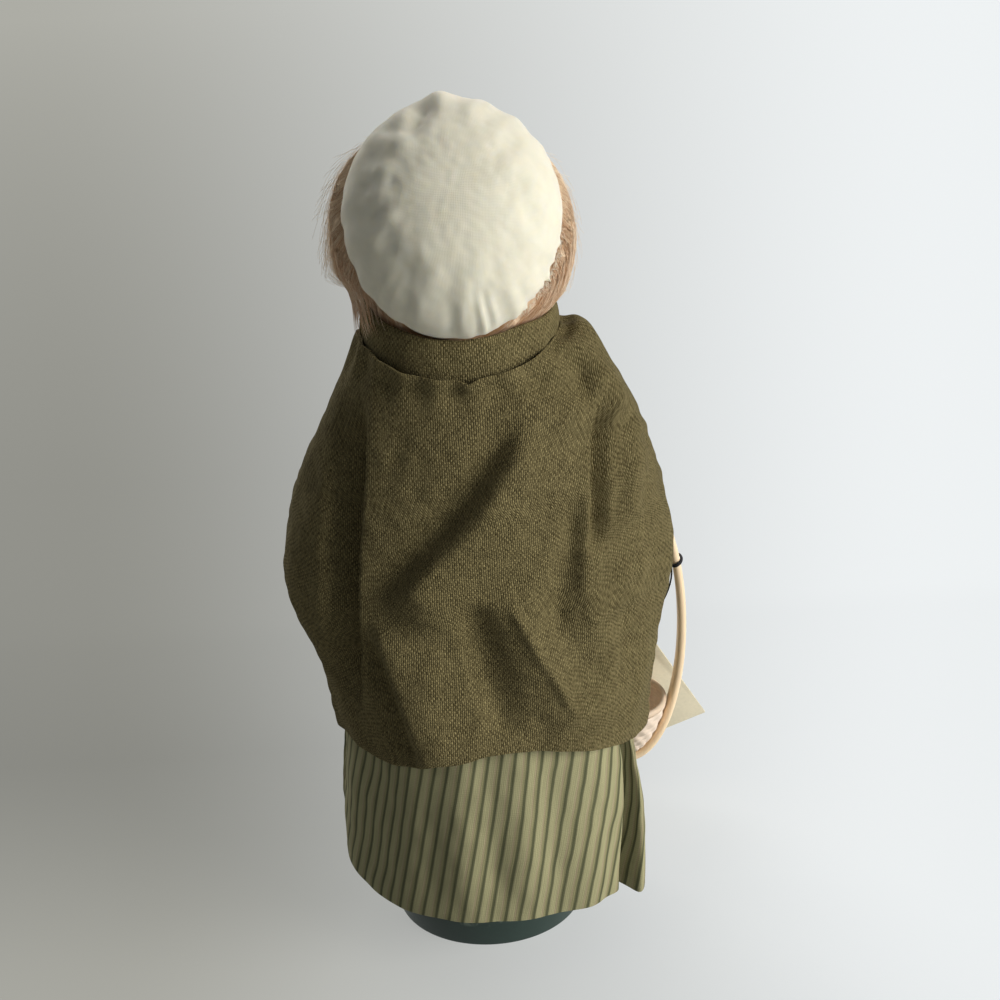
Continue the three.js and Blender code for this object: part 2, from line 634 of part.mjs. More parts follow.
// Skull, chin and cheeks, grown by extra
const headForms = (extra) => [
  ball(HEAD_HALF_WIDTH + extra, HEAD_HALF_DEPTH + extra, HEAD_HALF_HEIGHT + extra, [0, 0, 0], 20, 14),
  ball(9 + extra, 9 + extra, 8 + extra, [0, -HEAD_HALF_DEPTH * 0.6, -HEAD_HALF_HEIGHT * 0.76], 12, 8),
  ...[1, -1].map((side) => ball(8.5 + extra, 7 + extra, 8 + extra,
    [side * HEAD_HALF_WIDTH * 0.42, -HEAD_HALF_DEPTH * 0.74, -HEAD_HALF_HEIGHT * 0.3], 12, 8)),
];
const neck = loft([
  ellipseRing(16, NECK_R * 1.15, NECK_R * 1.15, headBottom - headZ),
  ellipseRing(16, NECK_R, NECK_R, headBottom - headZ + NECK_LENGTH * 0.4),
  ellipseRing(16, NECK_R * 1.1, NECK_R * 1.1, -HEAD_HALF_HEIGHT * 0.6),
]);
const nose = ball(2.9, 4.4, 4.2, [0, -HEAD_HALF_DEPTH * 0.97, -HEAD_HALF_HEIGHT * 0.16], 12, 8);
const mouth = ball(3.4, 4, 2.6, [0, -HEAD_HALF_DEPTH * 0.97, -HEAD_HALF_HEIGHT * 0.47], 12, 8);
add('head', geometryOf(cut(join(...headForms(0), neck, nose), mouth, headHole)), CLAY, headGroup);

// Cap: a round of cotton gathered at its rim, over the back and top of the hair

const capLean = degToRad(CAP_LEAN);
const capPole = new THREE.Vector3(0, Math.cos(capLean), Math.sin(capLean));
const capUp = new THREE.Vector3(0, -Math.sin(capLean), Math.cos(capLean));

// A point of the cap's dome: around its rim, from the pole to the rim, moved out by extra
function capPoint(angle, tilt, extra, gather) {
  const reach = Math.sin(tilt) ** 0.9;
  const height = Math.sin(angle) > 0 ? CAP_TOP : CAP_BOTTOM;
  const pleat = gather * CAP_GATHER_HEIGHT * Math.cos(CAP_GATHERS * angle) * smoothstep(tilt, 0.7, 1.5);
  return new THREE.Vector3(0, CAP_BACK, CAP_RISE)
    .addScaledVector(new THREE.Vector3(1, 0, 0), Math.cos(angle) * reach * (CAP_HALF_WIDTH + extra + pleat))
    .addScaledVector(capUp, Math.sin(angle) * reach * (height + extra + pleat))
    .addScaledVector(capPole, Math.cos(tilt) * (CAP_DEPTH + extra));
}

function capDome(outside, inside, rim, gather) {
  const rings = 7;
  const columns = CAP_GATHERS * (gather ? 3 : 2);
  const grid = (extra) => range(rings, (i) =>
    turn(columns, (a) => capPoint(a, (i + 1) / rings * rim, extra, gather)));
  const pole = (extra) => capPoint(0, 0, extra, 0);
  const [outer, inner] = [grid(outside), grid(inside)];
  const tip = (ring, p) => ring.flatMap((q, j) => [p, ring[(j + 1) % ring.length], q]);
  return closed([
    ...gridFaces(outer, true), ...flip(gridFaces(inner, true)),
    ...gridFaces([outer.at(-1), inner.at(-1)], true),
    ...tip(outer[0], pole(outside)), ...flip(tip(inner[0], pole(inside))),
  ]);
}

const capRim = Math.PI / 2;
add('cap', capDome(0, -CAP_THICKNESS, capRim, 1), COTTON, headGroup);

// Hair: fills the cap, swells at both sides of it and is tucked into the collar

const hairMass = ball(HAIR_HALF_WIDTH, HAIR_HALF_DEPTH, HAIR_HALF_HEIGHT, [0, 0, -HAIR_DROP], 24, 14);
const capRoom = capDome(14, -CAP_THICKNESS - CAP_GATHER_HEIGHT - FIT, capRim + 0.04, 0);
const neckRoom = upright(NECK_R * 1.6, headBottom - headZ - 1, -HEAD_HALF_HEIGHT * 0.5, 0, 0, 16);
const faceRoom = loft([-1.6, -0.25].map((share) => turn(20, (a) => new THREE.Vector3(
  FACE_HALF_WIDTH * Math.cos(a), share * HAIR_HALF_DEPTH, FACE_HALF_HEIGHT * Math.sin(a) - HAIR_DROP))));
// The collar's top and what lies below it, as seen from the head
const collarTop = COLLAR_RISE + COLLAR_HEIGHT + FIT + TURN_GAP - headZ;
const slopedRing = (extra, drop) => turn(32, (a) => {
  const point = neckPlan(a, extra);
  return point.setZ(neckHeight(point.y) + collarTop - drop);
});
const collarRoom = wall(
  [slopedRing(20, 0), slopedRing(20, 60)], [slopedRing(-HAIR_TUCK, 0), slopedRing(-HAIR_TUCK, 60)], true);
const hairEnd = loft([slopedRing(1 - HAIR_TUCK, COLLAR_HEIGHT), slopedRing(1 - HAIR_TUCK, 80)]);
const hairCuts = [capRoom, ...headForms(FIT), neckRoom, faceRoom, collarRoom, hairEnd];
add('hair', geometryOf(cut(solid(hairMass), ...hairCuts)), MOHAIR, headGroup);

// Basket: a cane hoop over the forearm, a bowl inside its lower bend and a cane rim on the bowl

const basket = new THREE.Group();
basket.position.set(hoopX, hoopY, hoopZ);
figure.add(basket);

const hoopAt = (a, inset = 0) => new THREE.Vector3(
  (HOOP_HALF_WIDTH - inset) * Math.cos(a), 0, (HOOP_HALF_HEIGHT - inset) * Math.sin(a));
const hoopOut = (a) => new THREE.Vector3(
  Math.cos(a) * HOOP_HALF_HEIGHT, 0, Math.sin(a) * HOOP_HALF_WIDTH).normalize();
const forward = new THREE.Vector3(0, 1, 0);
add('basket_handle', ringOf(turn(40, (a) =>
  section(hoopAt(a), hoopOut(a), forward, CANE_THICKNESS / 2, CANE_WIDTH / 2, 8))), CANE, basket);

// Half the width of the space inside the hoop at a height
function hoopRoom(z) {
  const [width, height] = [HOOP_HALF_WIDTH - CANE_THICKNESS / 2, HOOP_HALF_HEIGHT - CANE_THICKNESS / 2];
  return width * Math.sqrt(Math.max(0, 1 - (z / height) ** 2)) - FIT;
}

const bowlBottom = -(HOOP_HALF_HEIGHT - CANE_THICKNESS / 2) + FIT + 0.1;
const bowlTop = bowlBottom + BOWL_HEIGHT;
const bowlSteps = range(8, (i) => (i / 7) ** 2);
const bowlOutside = bowlSteps.map((u) => {
  const z = lerp(bowlBottom, bowlTop, u);
  return [u === 0 ? 0 : hoopRoom(z) - FIT, z];
});
const bowlInside = bowlSteps.map((u) => {
  const z = lerp(bowlBottom + BOWL_WALL, bowlTop, u);
  return [u === 0 ? 0 : Math.max(0.5, hoopRoom(z) - FIT - BOWL_WALL), z];
}).reverse();
const bowlReach = hoopRoom(bowlTop) - FIT;
const deepen = BOWL_HALF_DEPTH / bowlReach;
add('basket_bowl', revolve([...bowlOutside, ...bowlInside], 24).scale(1, deepen, 1), SPLINT, basket);

const rimSection = (a) => {
  const out = new THREE.Vector3(Math.cos(a), Math.sin(a), 0);
  const reach = bowlReach - RIM_WIDTH / 2;
  const centre = new THREE.Vector3(reach * out.x, (BOWL_HALF_DEPTH - RIM_WIDTH / 2) * out.y,
    bowlTop + FIT + RIM_HEIGHT / 2);
  return section(centre, out, new THREE.Vector3(0, 0, 1), RIM_WIDTH / 2, RIM_HEIGHT / 2, 6);
};
add('basket_rim', ringOf(turn(24, rimSection)), CANE, basket);

// Card: tied to the outer side of the hoop, leaning on the front of the rim

const knotAngle = Math.PI - Math.asin(THREAD_HEIGHT / HOOP_HALF_HEIGHT);
const knotPlace = hoopAt(knotAngle);
const loopHalf = (cane) => cane / 2 + FIT + THREAD_DIA / 2;
const hoopTangent = new THREE.Vector3().crossVectors(hoopOut(knotAngle), forward);
add('tag_loop', ringOf(turn(16, (a) => {
  const out = hoopOut(knotAngle).multiplyScalar(Math.cos(a)).addScaledVector(forward, Math.sin(a));
  const centre = knotPlace.clone()
    .addScaledVector(hoopOut(knotAngle), loopHalf(CANE_THICKNESS) * Math.cos(a))
    .addScaledVector(forward, loopHalf(CANE_WIDTH) * Math.sin(a));
  return section(centre, out, hoopTangent, THREAD_DIA / 2, THREAD_DIA / 2, 6);
})), THREAD, basket);

const lean = degToRad(CARD_LEAN);
const upSlope = new THREE.Vector3(0, Math.sin(lean), Math.cos(lean));
const cardFace = new THREE.Vector3(0, Math.cos(lean), -Math.sin(lean)); // towards the basket
const rimFront = new THREE.Vector3(0, -BOWL_HALF_DEPTH, bowlTop + FIT + RIM_HEIGHT / 2);
// The card's plane touches the front of the rim: a point of it at a given x and height
function onCard(x, z) {
  const point = new THREE.Vector3(x, 0, z);
  const seat = rimFront.clone().addScaledVector(cardFace, -FIT - CARD_THICKNESS);
  point.y = seat.y + (z - seat.z) * Math.tan(lean);
  return point;
}

const card = new THREE.Group();
const cardAlong = new THREE.Vector3(Math.sin(degToRad(CARD_TURN)), 0, 0)
  .addScaledVector(upSlope, Math.cos(degToRad(CARD_TURN)));
const cardAcross = new THREE.Vector3().crossVectors(cardFace, cardAlong);
card.position.copy(onCard(-HOOP_HALF_WIDTH - CARD_OUT, CARD_CORNER_HEIGHT - HOOP_HALF_HEIGHT));
card.quaternion.setFromRotationMatrix(
  new THREE.Matrix4().makeBasis(cardAcross, cardAlong, cardFace.clone().negate()));
basket.add(card);

const cardShape = new THREE.Shape([[0, 0], [CARD_WIDTH, 0], [CARD_WIDTH, CARD_LENGTH], [0, CARD_LENGTH]]
  .map(([x, y]) => new THREE.Vector2(x, y)));
const holeCentre = new THREE.Vector2(CARD_HOLE_INSET, CARD_LENGTH - CARD_HOLE_INSET);
cardShape.holes.push(new THREE.Path(turn(10, (a) => new THREE.Vector2(
  CARD_HOLE_DIA / 2 * Math.cos(a), CARD_HOLE_DIA / 2 * Math.sin(a)).add(holeCentre))));
add('tag_card', new THREE.ExtrudeGeometry(cardShape, { depth: CARD_THICKNESS, bevelEnabled: false })
  .translate(0, 0, -CARD_THICKNESS), CARD, card);

// The thread hangs from the loop, goes through the hole and ends in a knot
card.updateMatrix();
const hole = new THREE.Vector3(holeCentre.x, holeCentre.y, 0).applyMatrix4(card.matrix);
const threadTop = knotPlace.clone()
  .addScaledVector(forward, -loopHalf(CANE_WIDTH) - THREAD_DIA * 1.3 - FIT);
const above = hole.clone().addScaledVector(cardFace, 3 * THREAD_DIA);
const through = (depth) => hole.clone().addScaledVector(cardFace, -depth);
const threadR = THREAD_DIA / 2;
// Places along the thread and the radius at each
const threadStops = [
  ...range(6, (i) => [
    threadTop.clone().lerp(above, i / 6).addScaledVector(cardFace, i * (6 - i) * 0.1), threadR]),
  [above, threadR], [through(-THREAD_DIA), threadR], [through(0), threadR], [through(FIT), threadR],
  [through(FIT + KNOT_DIA * 0.25), KNOT_DIA * 0.45], [through(FIT + KNOT_DIA * 0.7), KNOT_DIA * 0.45],
  [through(FIT + KNOT_DIA), threadR],
];
add('tag_thread', loft(threadStops.map(([centre, r], i) => {
  const ahead = threadStops[Math.min(i + 1, threadStops.length - 1)][0].clone();
  const along = ahead.sub(threadStops[Math.max(i - 1, 0)][0]).normalize();
  const side = new THREE.Vector3(1, 0, 0).cross(along).normalize();
  return section(centre, side, new THREE.Vector3().crossVectors(along, side), r, r, 8);
})), THREAD, basket);

export default figure;
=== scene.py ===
"""A dressed caroler figure on a round base: its cloth, hair, clay, cane and painted wood.

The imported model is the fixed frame. Lengths in the code are millimetres unless a name says
otherwise, and become metres where a mesh is made. The figure faces -Y, and +Z is up.
"""

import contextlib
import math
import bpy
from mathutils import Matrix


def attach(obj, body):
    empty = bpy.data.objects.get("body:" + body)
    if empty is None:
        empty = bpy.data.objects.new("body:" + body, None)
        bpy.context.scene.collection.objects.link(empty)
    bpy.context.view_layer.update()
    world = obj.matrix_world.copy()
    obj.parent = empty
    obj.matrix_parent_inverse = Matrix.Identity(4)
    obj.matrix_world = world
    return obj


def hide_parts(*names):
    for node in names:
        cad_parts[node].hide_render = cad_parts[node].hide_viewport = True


bl_info = {
    "name": "Caroler Figure",
    "version": (1, 0, 0),
    "blender": (4, 5, 0),
    "location": "3D View > Sidebar > Caroler",
    "description": "Dresses the frame of a caroler figure in its cape, skirt, cap, hair and basket",
    "category": "Add Mesh",
}

import bpy
import numpy as np
from bpy.props import FloatProperty, FloatVectorProperty, IntProperty, PointerProperty
from mathutils import Matrix, Vector

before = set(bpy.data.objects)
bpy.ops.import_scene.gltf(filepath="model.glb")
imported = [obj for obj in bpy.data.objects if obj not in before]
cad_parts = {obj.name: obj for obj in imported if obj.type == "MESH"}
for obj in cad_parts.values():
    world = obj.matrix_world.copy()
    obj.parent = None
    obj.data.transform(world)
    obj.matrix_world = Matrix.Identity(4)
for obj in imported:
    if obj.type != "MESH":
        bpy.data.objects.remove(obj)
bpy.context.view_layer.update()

MM = 0.001
TURN = 2 * math.pi

# Heights and places that the part's solids have
BASE_RADIUS, BASE_TOP = 37.5, 12.0
WAIST, CHEST, SHOULDER, BODY_TOP = 162.9, 200.9, 218.9, 230.9
FOREARM = 149.9
SKIRT_HEM = 23.0
NECK_EDGE = 245.9
NECK_SIDE, NECK_BACK, NECK_FRONT = 36.0, 34.5, 29.0
HEAD = 284.2
HEAD_TURN = math.radians(15)
CAP_LEAN = math.radians(33)
CAP_POLE = np.array((0, math.cos(CAP_LEAN), math.sin(CAP_LEAN)))
CAP_UP = np.array((0, -math.sin(CAP_LEAN), math.cos(CAP_LEAN)))
CAP_CENTRE = np.array((0, 9.5, HEAD + 6))
CAP_SIDE, CAP_ABOVE, CAP_BELOW, CAP_DEEP = 38.3, 41.0, 44.5, 31.0  # half-sizes of its dome
CAP_ROUND = 0.9  # below 1, the dome is fuller than a ball
HOOP = np.array((-62.0, -48.0, 96.1))
HOOP_WIDE, HOOP_TALL = 23.3, 64.0  # half-sizes of the cane's middle
ROOM_WIDE, ROOM_TALL = 21.6, 62.3  # half-sizes inside the hoop


# Settings


def linear(code):
    """A colour such as #6a5d36 as linear light."""
    parts = [int(code[i:i + 2], 16) / 255 for i in (1, 3, 5)]
    return tuple(c / 12.92 if c <= 0.04045 else ((c + 0.055) / 1.055) ** 2.4 for c in parts)


def length(name, text, mm):
    """A length setting, given in millimetres."""
    return FloatProperty(name=name, description=text, default=mm * MM, unit="LENGTH", precision=5)


def tint(name, text, code):
    """A colour setting, given as an sRGB hex value."""
    return FloatVectorProperty(
        name=name, description=text, default=linear(code), subtype="COLOR", size=3, min=0, max=1)


class CarolerStage(bpy.types.PropertyGroup):
    """Floor, light and camera."""

    eye: FloatVectorProperty(
        name="Eye", description="Place of the camera", default=(0, 0.700, 0.490), subtype="XYZ")
    aim: FloatVectorProperty(
        name="Aim", description="Point that the camera looks at", default=(0, 0, 0.165), subtype="XYZ")
    lens: FloatProperty(name="Lens", description="Focal length in millimetres", default=73.4)
    roll: FloatProperty(
        name="Roll", description="Turn of the camera about its own line of sight",
        default=math.radians(3.3), subtype="ANGLE")
    shift: FloatVectorProperty(
        name="Shift", description="Shift of the picture as a share of it", default=(0.030, 0.028), size=2)
    key: FloatProperty(name="Key", description="Strength of the soft window light", default=3.3)
    fill: FloatProperty(name="Fill", description="Strength of the light from all round", default=0.14)
    front: FloatProperty(name="Front", description="Strength of the weak light on the front", default=1.6)
    floor_near: tint("Floor in light", "Floor on the side of the window", "#ecf0f2")
    floor_far: tint("Floor in shade", "Floor on the other side", "#8f8f89")


class CarolerCloth(bpy.types.PropertyGroup):
    """Sizes of the clothes."""

    cape_thickness: length("Cape thickness", "Thickness of the wool", 1.3)
    wool_thread: length("Wool thread", "Distance between two threads of the wool", 0.8)
    fold_depth: FloatProperty(
        name="Fold depth", description="Share of the cape's modelled folds", default=1.0, min=0, max=2)
    skirt_thickness: length("Skirt thickness", "Thickness of the ticking", 0.7)
    stripe_repeat: length("Stripe repeat", "Width of one repeat of the stripes", 5.5)
    collar_height: length("Collar height", "Height of the rolled collar band", 13.8)
    collar_thickness: length("Collar thickness", "Thickness of the rolled collar band", 3.0)
    cap_thickness: length("Cap thickness", "Thickness of the cotton", 0.7)
    bodice_thickness: length("Bodice thickness", "Thickness of the bodice cloth", 0.8)


class CarolerHead(bpy.types.PropertyGroup):
    """Sizes of the head and its hair."""

    strands: IntProperty(name="Strands", description="Strands of hair that lie on the wig", default=5200)
    wisps: IntProperty(name="Wisps", description="Fine hairs that stand off the wig", default=800)
    strand_width: length("Strand width", "Width of a strand", 0.2)
    comb_depth: length("Comb depth", "Depth of the furrows that the comb left", 0.7)


class CarolerBasket(bpy.types.PropertyGroup):
    """Sizes of the basket and its card."""

    cane_thickness: length("Cane thickness", "Thickness of the hoop's cane", 3.4)
    cane_width: length("Cane width", "Width of the hoop's cane", 7.6)
    thread_diameter: length("Thread diameter", "Diameter of the card's thread", 1.0)
    weavers: IntProperty(name="Weavers", description="Rows of splint round the bowl", default=9)
    stakes: IntProperty(name="Stakes", description="Upright splints of the bowl", default=26)


class CarolerColours(bpy.types.PropertyGroup):
    """Colours of the materials."""

    wool_light: tint("Wool, light yarn", "Light fibres of the cape", "#948860")
    wool_dark: tint("Wool, dark yarn", "Dark fibres of the cape", "#413921")
    ticking_light: tint("Ticking, light band", "Pale bands of the skirt", "#a3a07b")
    ticking_mid: tint("Ticking, middle band", "Darker bands of the skirt", "#8f8b67")
    ticking_line: tint("Ticking, line", "Thin dark lines of the skirt", "#575940")
    ticking_tan: tint("Ticking, tan line", "Faint lines beside the dark ones", "#a2957a")
    cotton: tint("Cotton", "Cap", "#f7edd5")
    bodice: tint("Bodice cloth", "Bodice", "#cfc4a8")
    hair_light: tint("Hair, light", "Light strands", "#ffebcf")
    hair_dark: tint("Hair, dark", "Dark strands", "#c6925f")
    skin: tint("Skin", "Painted clay", "#e0b79d")
    felt: tint("Felt", "Boots and mittens", "#2b2724")
    paint: tint("Base paint", "Painted base", "#22352f")
    cane: tint("Cane", "Hoop", "#f8deba")
    splint: tint("Splint", "Woven bowl", "#e6d4c2")
    rim: tint("Rim", "Cane rim of the bowl", "#d8c2a9")
    thread: tint("Thread", "Thread of the card", "#1c1c20")
    card: tint("Card", "Blank card", "#d9d1b9")


# Numbers


def lerp(a, b, share):
    """A value between a and b."""
    return a + (b - a) * share


def ease(value, low, high):
    """0 below low, 1 above high, smooth between."""
    u = np.clip((value - low) / (high - low), 0, 1)
    return u * u * (3 - 2 * u)


def bump(distance, width):
    """1 on a ridge, falling off to both sides."""
    return np.exp(-((distance / width) ** 2))


def smooth(pairs):
    """A smooth curve through a few (place, value) pairs."""
    place, value = np.array(pairs, float).T
    last = len(place) - 1
    low, high = np.maximum(np.arange(last + 1) - 1, 0), np.minimum(np.arange(last + 1) + 1, last)
    slope = (value[high] - value[low]) / (place[high] - place[low])

    def curve(t):
        i = np.clip(np.searchsorted(place, t, side="right") - 1, 0, last - 1)
        step = place[i + 1] - place[i]
        u = np.clip((t - place[i]) / step, 0, 1)
        return (value[i] * (1 + 2 * u) * (1 - u) ** 2 + slope[i] * step * u * (1 - u) ** 2
                + value[i + 1] * u * u * (3 - 2 * u) + slope[i + 1] * step * u * u * (u - 1))

    return curve


RIPPLE_WAVES = 14


def ripple(u, v, size, seed):
    """Soft uneven waves of about a given length, between -1 and 1 or so."""
    draw = np.random.default_rng(seed)
    total = np.zeros(np.broadcast(u, v).shape)
    for _ in range(RIPPLE_WAVES):
        turn, phase = draw.uniform(0, TURN, 2)
        pitch = size * draw.uniform(0.7, 1.5)
        total += np.sin((u * math.cos(turn) + v * math.sin(turn)) * TURN / pitch + phase)
    return total / math.sqrt(RIPPLE_WAVES)


def circle(count):
    """Angles once round."""
    return np.linspace(0, TURN, count, endpoint=False)


def apart(value, place, full):
    """How far round a value lies from a place, by the shorter way."""
    return (value - place + full / 2) % full - full / 2


def oval(angle, left, right, back, front, power=1.0):
    """A plan with its own half-width to each side. A power below 1 squares its front corners."""
    c, s = np.cos(angle), np.sin(angle)
    share = np.where(s < 0, power, 1.0)
    x = np.sign(c) * np.abs(c) ** share * np.where(c > 0, left, right)
    y = np.sign(s) * np.abs(s) ** share * np.where(s > 0, back, front)
    return x, y


def neck_height(y):
    """Height of the neck edge, which falls towards the back and the front."""
    return NECK_EDGE - 7 * (y / NECK_BACK) ** 2


def unit(vectors):
    """Vectors at a length of 1."""
    return vectors / np.maximum(np.linalg.norm(vectors, axis=-1, keepdims=True), 1e-9)


def outward(points):
    """Normals of a grid of points whose rows run down and whose columns run round by the left."""
    return unit(np.cross(np.gradient(points, axis=0), np.gradient(points, axis=1)))


def along(points, axis=0):
    """Lengths along a line of points, or along the rows or columns of a grid, from the start."""
    step = np.linalg.norm(np.diff(points, axis=axis), axis=-1)
    return np.insert(np.cumsum(step, axis=axis), 0, 0, axis=axis)


def seam(flat, girth=0.0):
    """A flat map whose first column comes again at the far side."""
    return np.concatenate([flat, flat[:, :1] + (girth, 0)], 1)


# Meshes


def choose(obj):
    """Selects one object and nothing else."""
    bpy.ops.object.select_all(action="DESELECT")
    obj.select_set(True)
    bpy.context.view_layer.objects.active = obj


@contextlib.contextmanager
def editing(obj, action="SELECT"):
    """Edit mode on one mesh, with all of it selected, or as the action says."""
    choose(obj)
    bpy.ops.object.mode_set(mode="EDIT")
    if action:
        bpy.ops.mesh.select_all(action=action)
    yield
    bpy.ops.object.mode_set(mode="OBJECT")


def pick(obj, kind, chosen):
    """Selects some of a mesh's vertices or edges, by their numbers, and nothing else of it."""
    bpy.context.tool_settings.mesh_select_mode = (kind == "vertices", kind == "edges", False)
    with editing(obj, "DESELECT"):
        pass
    elements = getattr(obj.data, kind)
    for i in chosen:
        elements[i].select = True


def apply(obj, kind, **settings):
    """Adds a modifier with its settings and applies it."""
    choose(obj)
    modifier = obj.modifiers.new(kind.title(), kind)
    for name, value in settings.items():
        setattr(modifier, name, value)
    bpy.ops.object.modifier_apply(modifier=modifier.name)


def named(name):
    """The object that the last operator added, under its own name."""
    obj = bpy.context.active_object
    obj.name = obj.data.name = name
    return obj


def settle():
    """Puts the active object's place, turn and scale into its mesh."""
    bpy.ops.object.transform_apply(location=True, rotation=True, scale=True)


def mesh_piece(name, points, faces):
    """An object from points in millimetres and faces."""
    mesh = bpy.data.meshes.new(name)
    mesh.from_pydata((np.asarray(points).reshape(-1, 3) * MM).tolist(), [], np.asarray(faces).tolist())
    obj = bpy.data.objects.new(name, mesh)
    bpy.context.scene.collection.objects.link(obj)
    return obj


def grid_piece(name, points, flat=None, wrap=False, flip=False):
    """A sheet through a grid of points, with its place in the flat cloth as a UV map in metres."""
    rows, columns = points.shape[:2]
    index = np.arange(rows * columns).reshape(rows, columns)
    if wrap:
        index = np.hstack([index, index[:, :1]])
    first, last = slice(0, -1), slice(1, None)
    corners = [(first, first), (last, first), (last, last), (first, last)]
    if flip:
        corners.reverse()
    obj = mesh_piece(name, points, np.stack([index[c] for c in corners], -1).reshape(-1, 4))
    if flat is not None:
        layer = obj.data.uv_layers.new(name="cloth")
        layer.data.foreach_set("uv", (np.stack([flat[c] for c in corners], 2) * MM).ravel())
    return obj


def set_tone(obj, tone):
    """Gives each point of a mesh its own tone."""
    layer = obj.data.attributes.new("tone", "FLOAT", "POINT")
    layer.data.foreach_set("value", tone.ravel().astype(np.float32))


def shade(obj, angle=50):
    """Smooths the shading up to an angle."""
    choose(obj)
    bpy.ops.object.shade_smooth_by_angle(angle=math.radians(angle))


def clean(obj, angle=40):
    """Merges doubled points, turns the faces outwards and smooths the shading up to an angle."""
    with editing(obj):
        bpy.ops.mesh.remove_doubles(threshold=1e-6)
        bpy.ops.mesh.normals_make_consistent(inside=False)
    shade(obj, angle)


def tubes(name, paths, radius, sides=3, tone=None):
    """Thin tapered tubes along many paths of the same number of points."""
    paths = np.asarray(paths, float)
    count, stops = paths.shape[:2]
    ahead = unit(np.gradient(paths, axis=1))
    side = unit(np.cross(ahead, (0.31, 0.52, 0.79)))
    other = np.cross(ahead, side)
    turn = circle(sides)[:, None]
    radius = np.broadcast_to(radius, (count, stops))[..., None, None]
    rings = paths[:, :, None] + radius * (
        np.cos(turn) * side[:, :, None] + np.sin(turn) * other[:, :, None])
    index = np.arange(count * stops * sides).reshape(count, stops, sides)
    a, b = index[:, :-1], index[:, 1:]
    faces = np.stack([a, np.roll(a, -1, 2), np.roll(b, -1, 2), b], -1).reshape(-1, 4)
    obj = mesh_piece(name, rings, faces)
    if tone is not None:
        set_tone(obj, np.repeat(tone, stops * sides))
    choose(obj)
    bpy.ops.object.shade_smooth()
    return obj


def moulded(name, forms, voxel, passes):
    """One smooth mass from balls: each has a centre, three half-sizes and a tilt about X in degrees."""
    bpy.ops.object.select_all(action="DESELECT")
    parts = []
    for centre, half, tilt in forms:
        bpy.ops.mesh.primitive_uv_sphere_add(
            segments=48, ring_count=32, radius=MM, location=Vector(centre) * MM,
            rotation=(math.radians(tilt), 0, 0), scale=half)
        parts.append(bpy.context.active_object)
    for part in parts:
        part.select_set(True)
    bpy.context.view_layer.objects.active = parts[0]
    bpy.ops.object.join()
    settle()
    obj = named(name)
    apply(obj, "REMESH", mode="VOXEL", voxel_size=voxel * MM)
    apply(obj, "SMOOTH", factor=0.5, iterations=passes)
    choose(obj)
    bpy.ops.object.shade_smooth()
    return obj


def push(obj, place, reach, move):
    """Moves the points of a mesh within reach of a place, the nearest one most."""
    points = np.empty(len(obj.data.vertices) * 3)
    obj.data.vertices.foreach_get("co", points)
    away = np.linalg.norm(points.reshape(-1, 3) - np.array(place) * MM, axis=1)
    pick(obj, "vertices", [away.argmin()])
    with editing(obj, None):
        bpy.ops.transform.translate(
            value=Vector(move) * MM, use_proportional_edit=True, proportional_size=reach * MM,
            proportional_edit_falloff="SMOOTH")


def dress(obj, body, slot, material, *nodes):
    """Gives a finished piece its material and body, and hides the nodes it stands for. Slot is not used."""
    obj.data.materials.clear()
    obj.data.materials.append(material)
    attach(obj, body)
    if nodes:
        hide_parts(*nodes)


# Materials


def blank(name, **sockets):
    """A new material: the material, its node tree and its shader."""
    material = bpy.data.materials.new(name)
    material.use_nodes = True
    shader = material.node_tree.nodes["Principled BSDF"]
    for socket, value in sockets.items():
        title = "Specular IOR Level" if socket == "specular" else socket.replace("_", " ").title()
        shader.inputs[title].default_value = value
    return material, material.node_tree, shader


def put(tree, kind, sockets=None, **settings):
    """Adds a node with its settings, and sets or links its inputs."""
    node = tree.nodes.new("ShaderNode" + kind)
    for name, value in settings.items():
        setattr(node, name, value)
    for socket, value in (sockets or {}).items():
        if isinstance(value, bpy.types.NodeSocket):
            tree.links.new(value, node.inputs[socket])
        else:
            node.inputs[socket].default_value = value
    return node


def number(tree, operation, *values):
    """One step of arithmetic on numbers."""
    return put(tree, "Math", dict(enumerate(values)), operation=operation).outputs[0]


def vector(tree, operation, *values):
    """One step of arithmetic on vectors or colours."""
    return put(tree, "VectorMath", dict(enumerate(values)), operation=operation).outputs[0]


def norm(tree, value):
    """The length of a vector."""
    return put(tree, "VectorMath", {0: value}, operation="LENGTH").outputs["Value"]


def split(tree, value):
    """The three numbers of a vector."""
    return put(tree, "SeparateXYZ", {0: value}).outputs


def remap(tree, value, low, high, to_low=0.0, to_high=1.0, **settings):
    """A number taken from one range to another and kept inside it."""
    sockets = {0: value, 1: low, 2: high, 3: to_low, 4: to_high}
    return put(tree, "MapRange", sockets, **settings).outputs[0]


def noise(tree, place, scale, detail):
    """Soft specks, about 1 / scale apart."""
    return put(tree, "TexNoise", {"Vector": place, "Scale": scale, "Detail": detail}).outputs[0]


def mix(tree, share, first, second):
    """A colour between two others."""
    return put(tree, "Mix", {0: share, 6: first, 7: second}, data_type="RGBA").outputs[2]


def spot(tree):
    """Place on the object."""
    return put(tree, "TexCoord").outputs["Object"]


def rgba(colour):
    """A setting's colour for a socket."""
    return (*colour, 1.0)


def connect(tree, shader, colour, height, strength, depth):
    """Gives the shader its colour, and its relief from a height."""
    tree.links.new(colour, shader.inputs["Base Color"])
    relief = put(tree, "Bump", {"Strength": strength, "Distance": depth * MM, "Height": height})
    tree.links.new(relief.outputs[0], shader.inputs["Normal"])


# Threads don't lie quite straight: size of a drift for a thread's width of 1, and how far it goes
WEAVE_DRIFTS = ((0.09, 1.6), (0.45, 0.5))


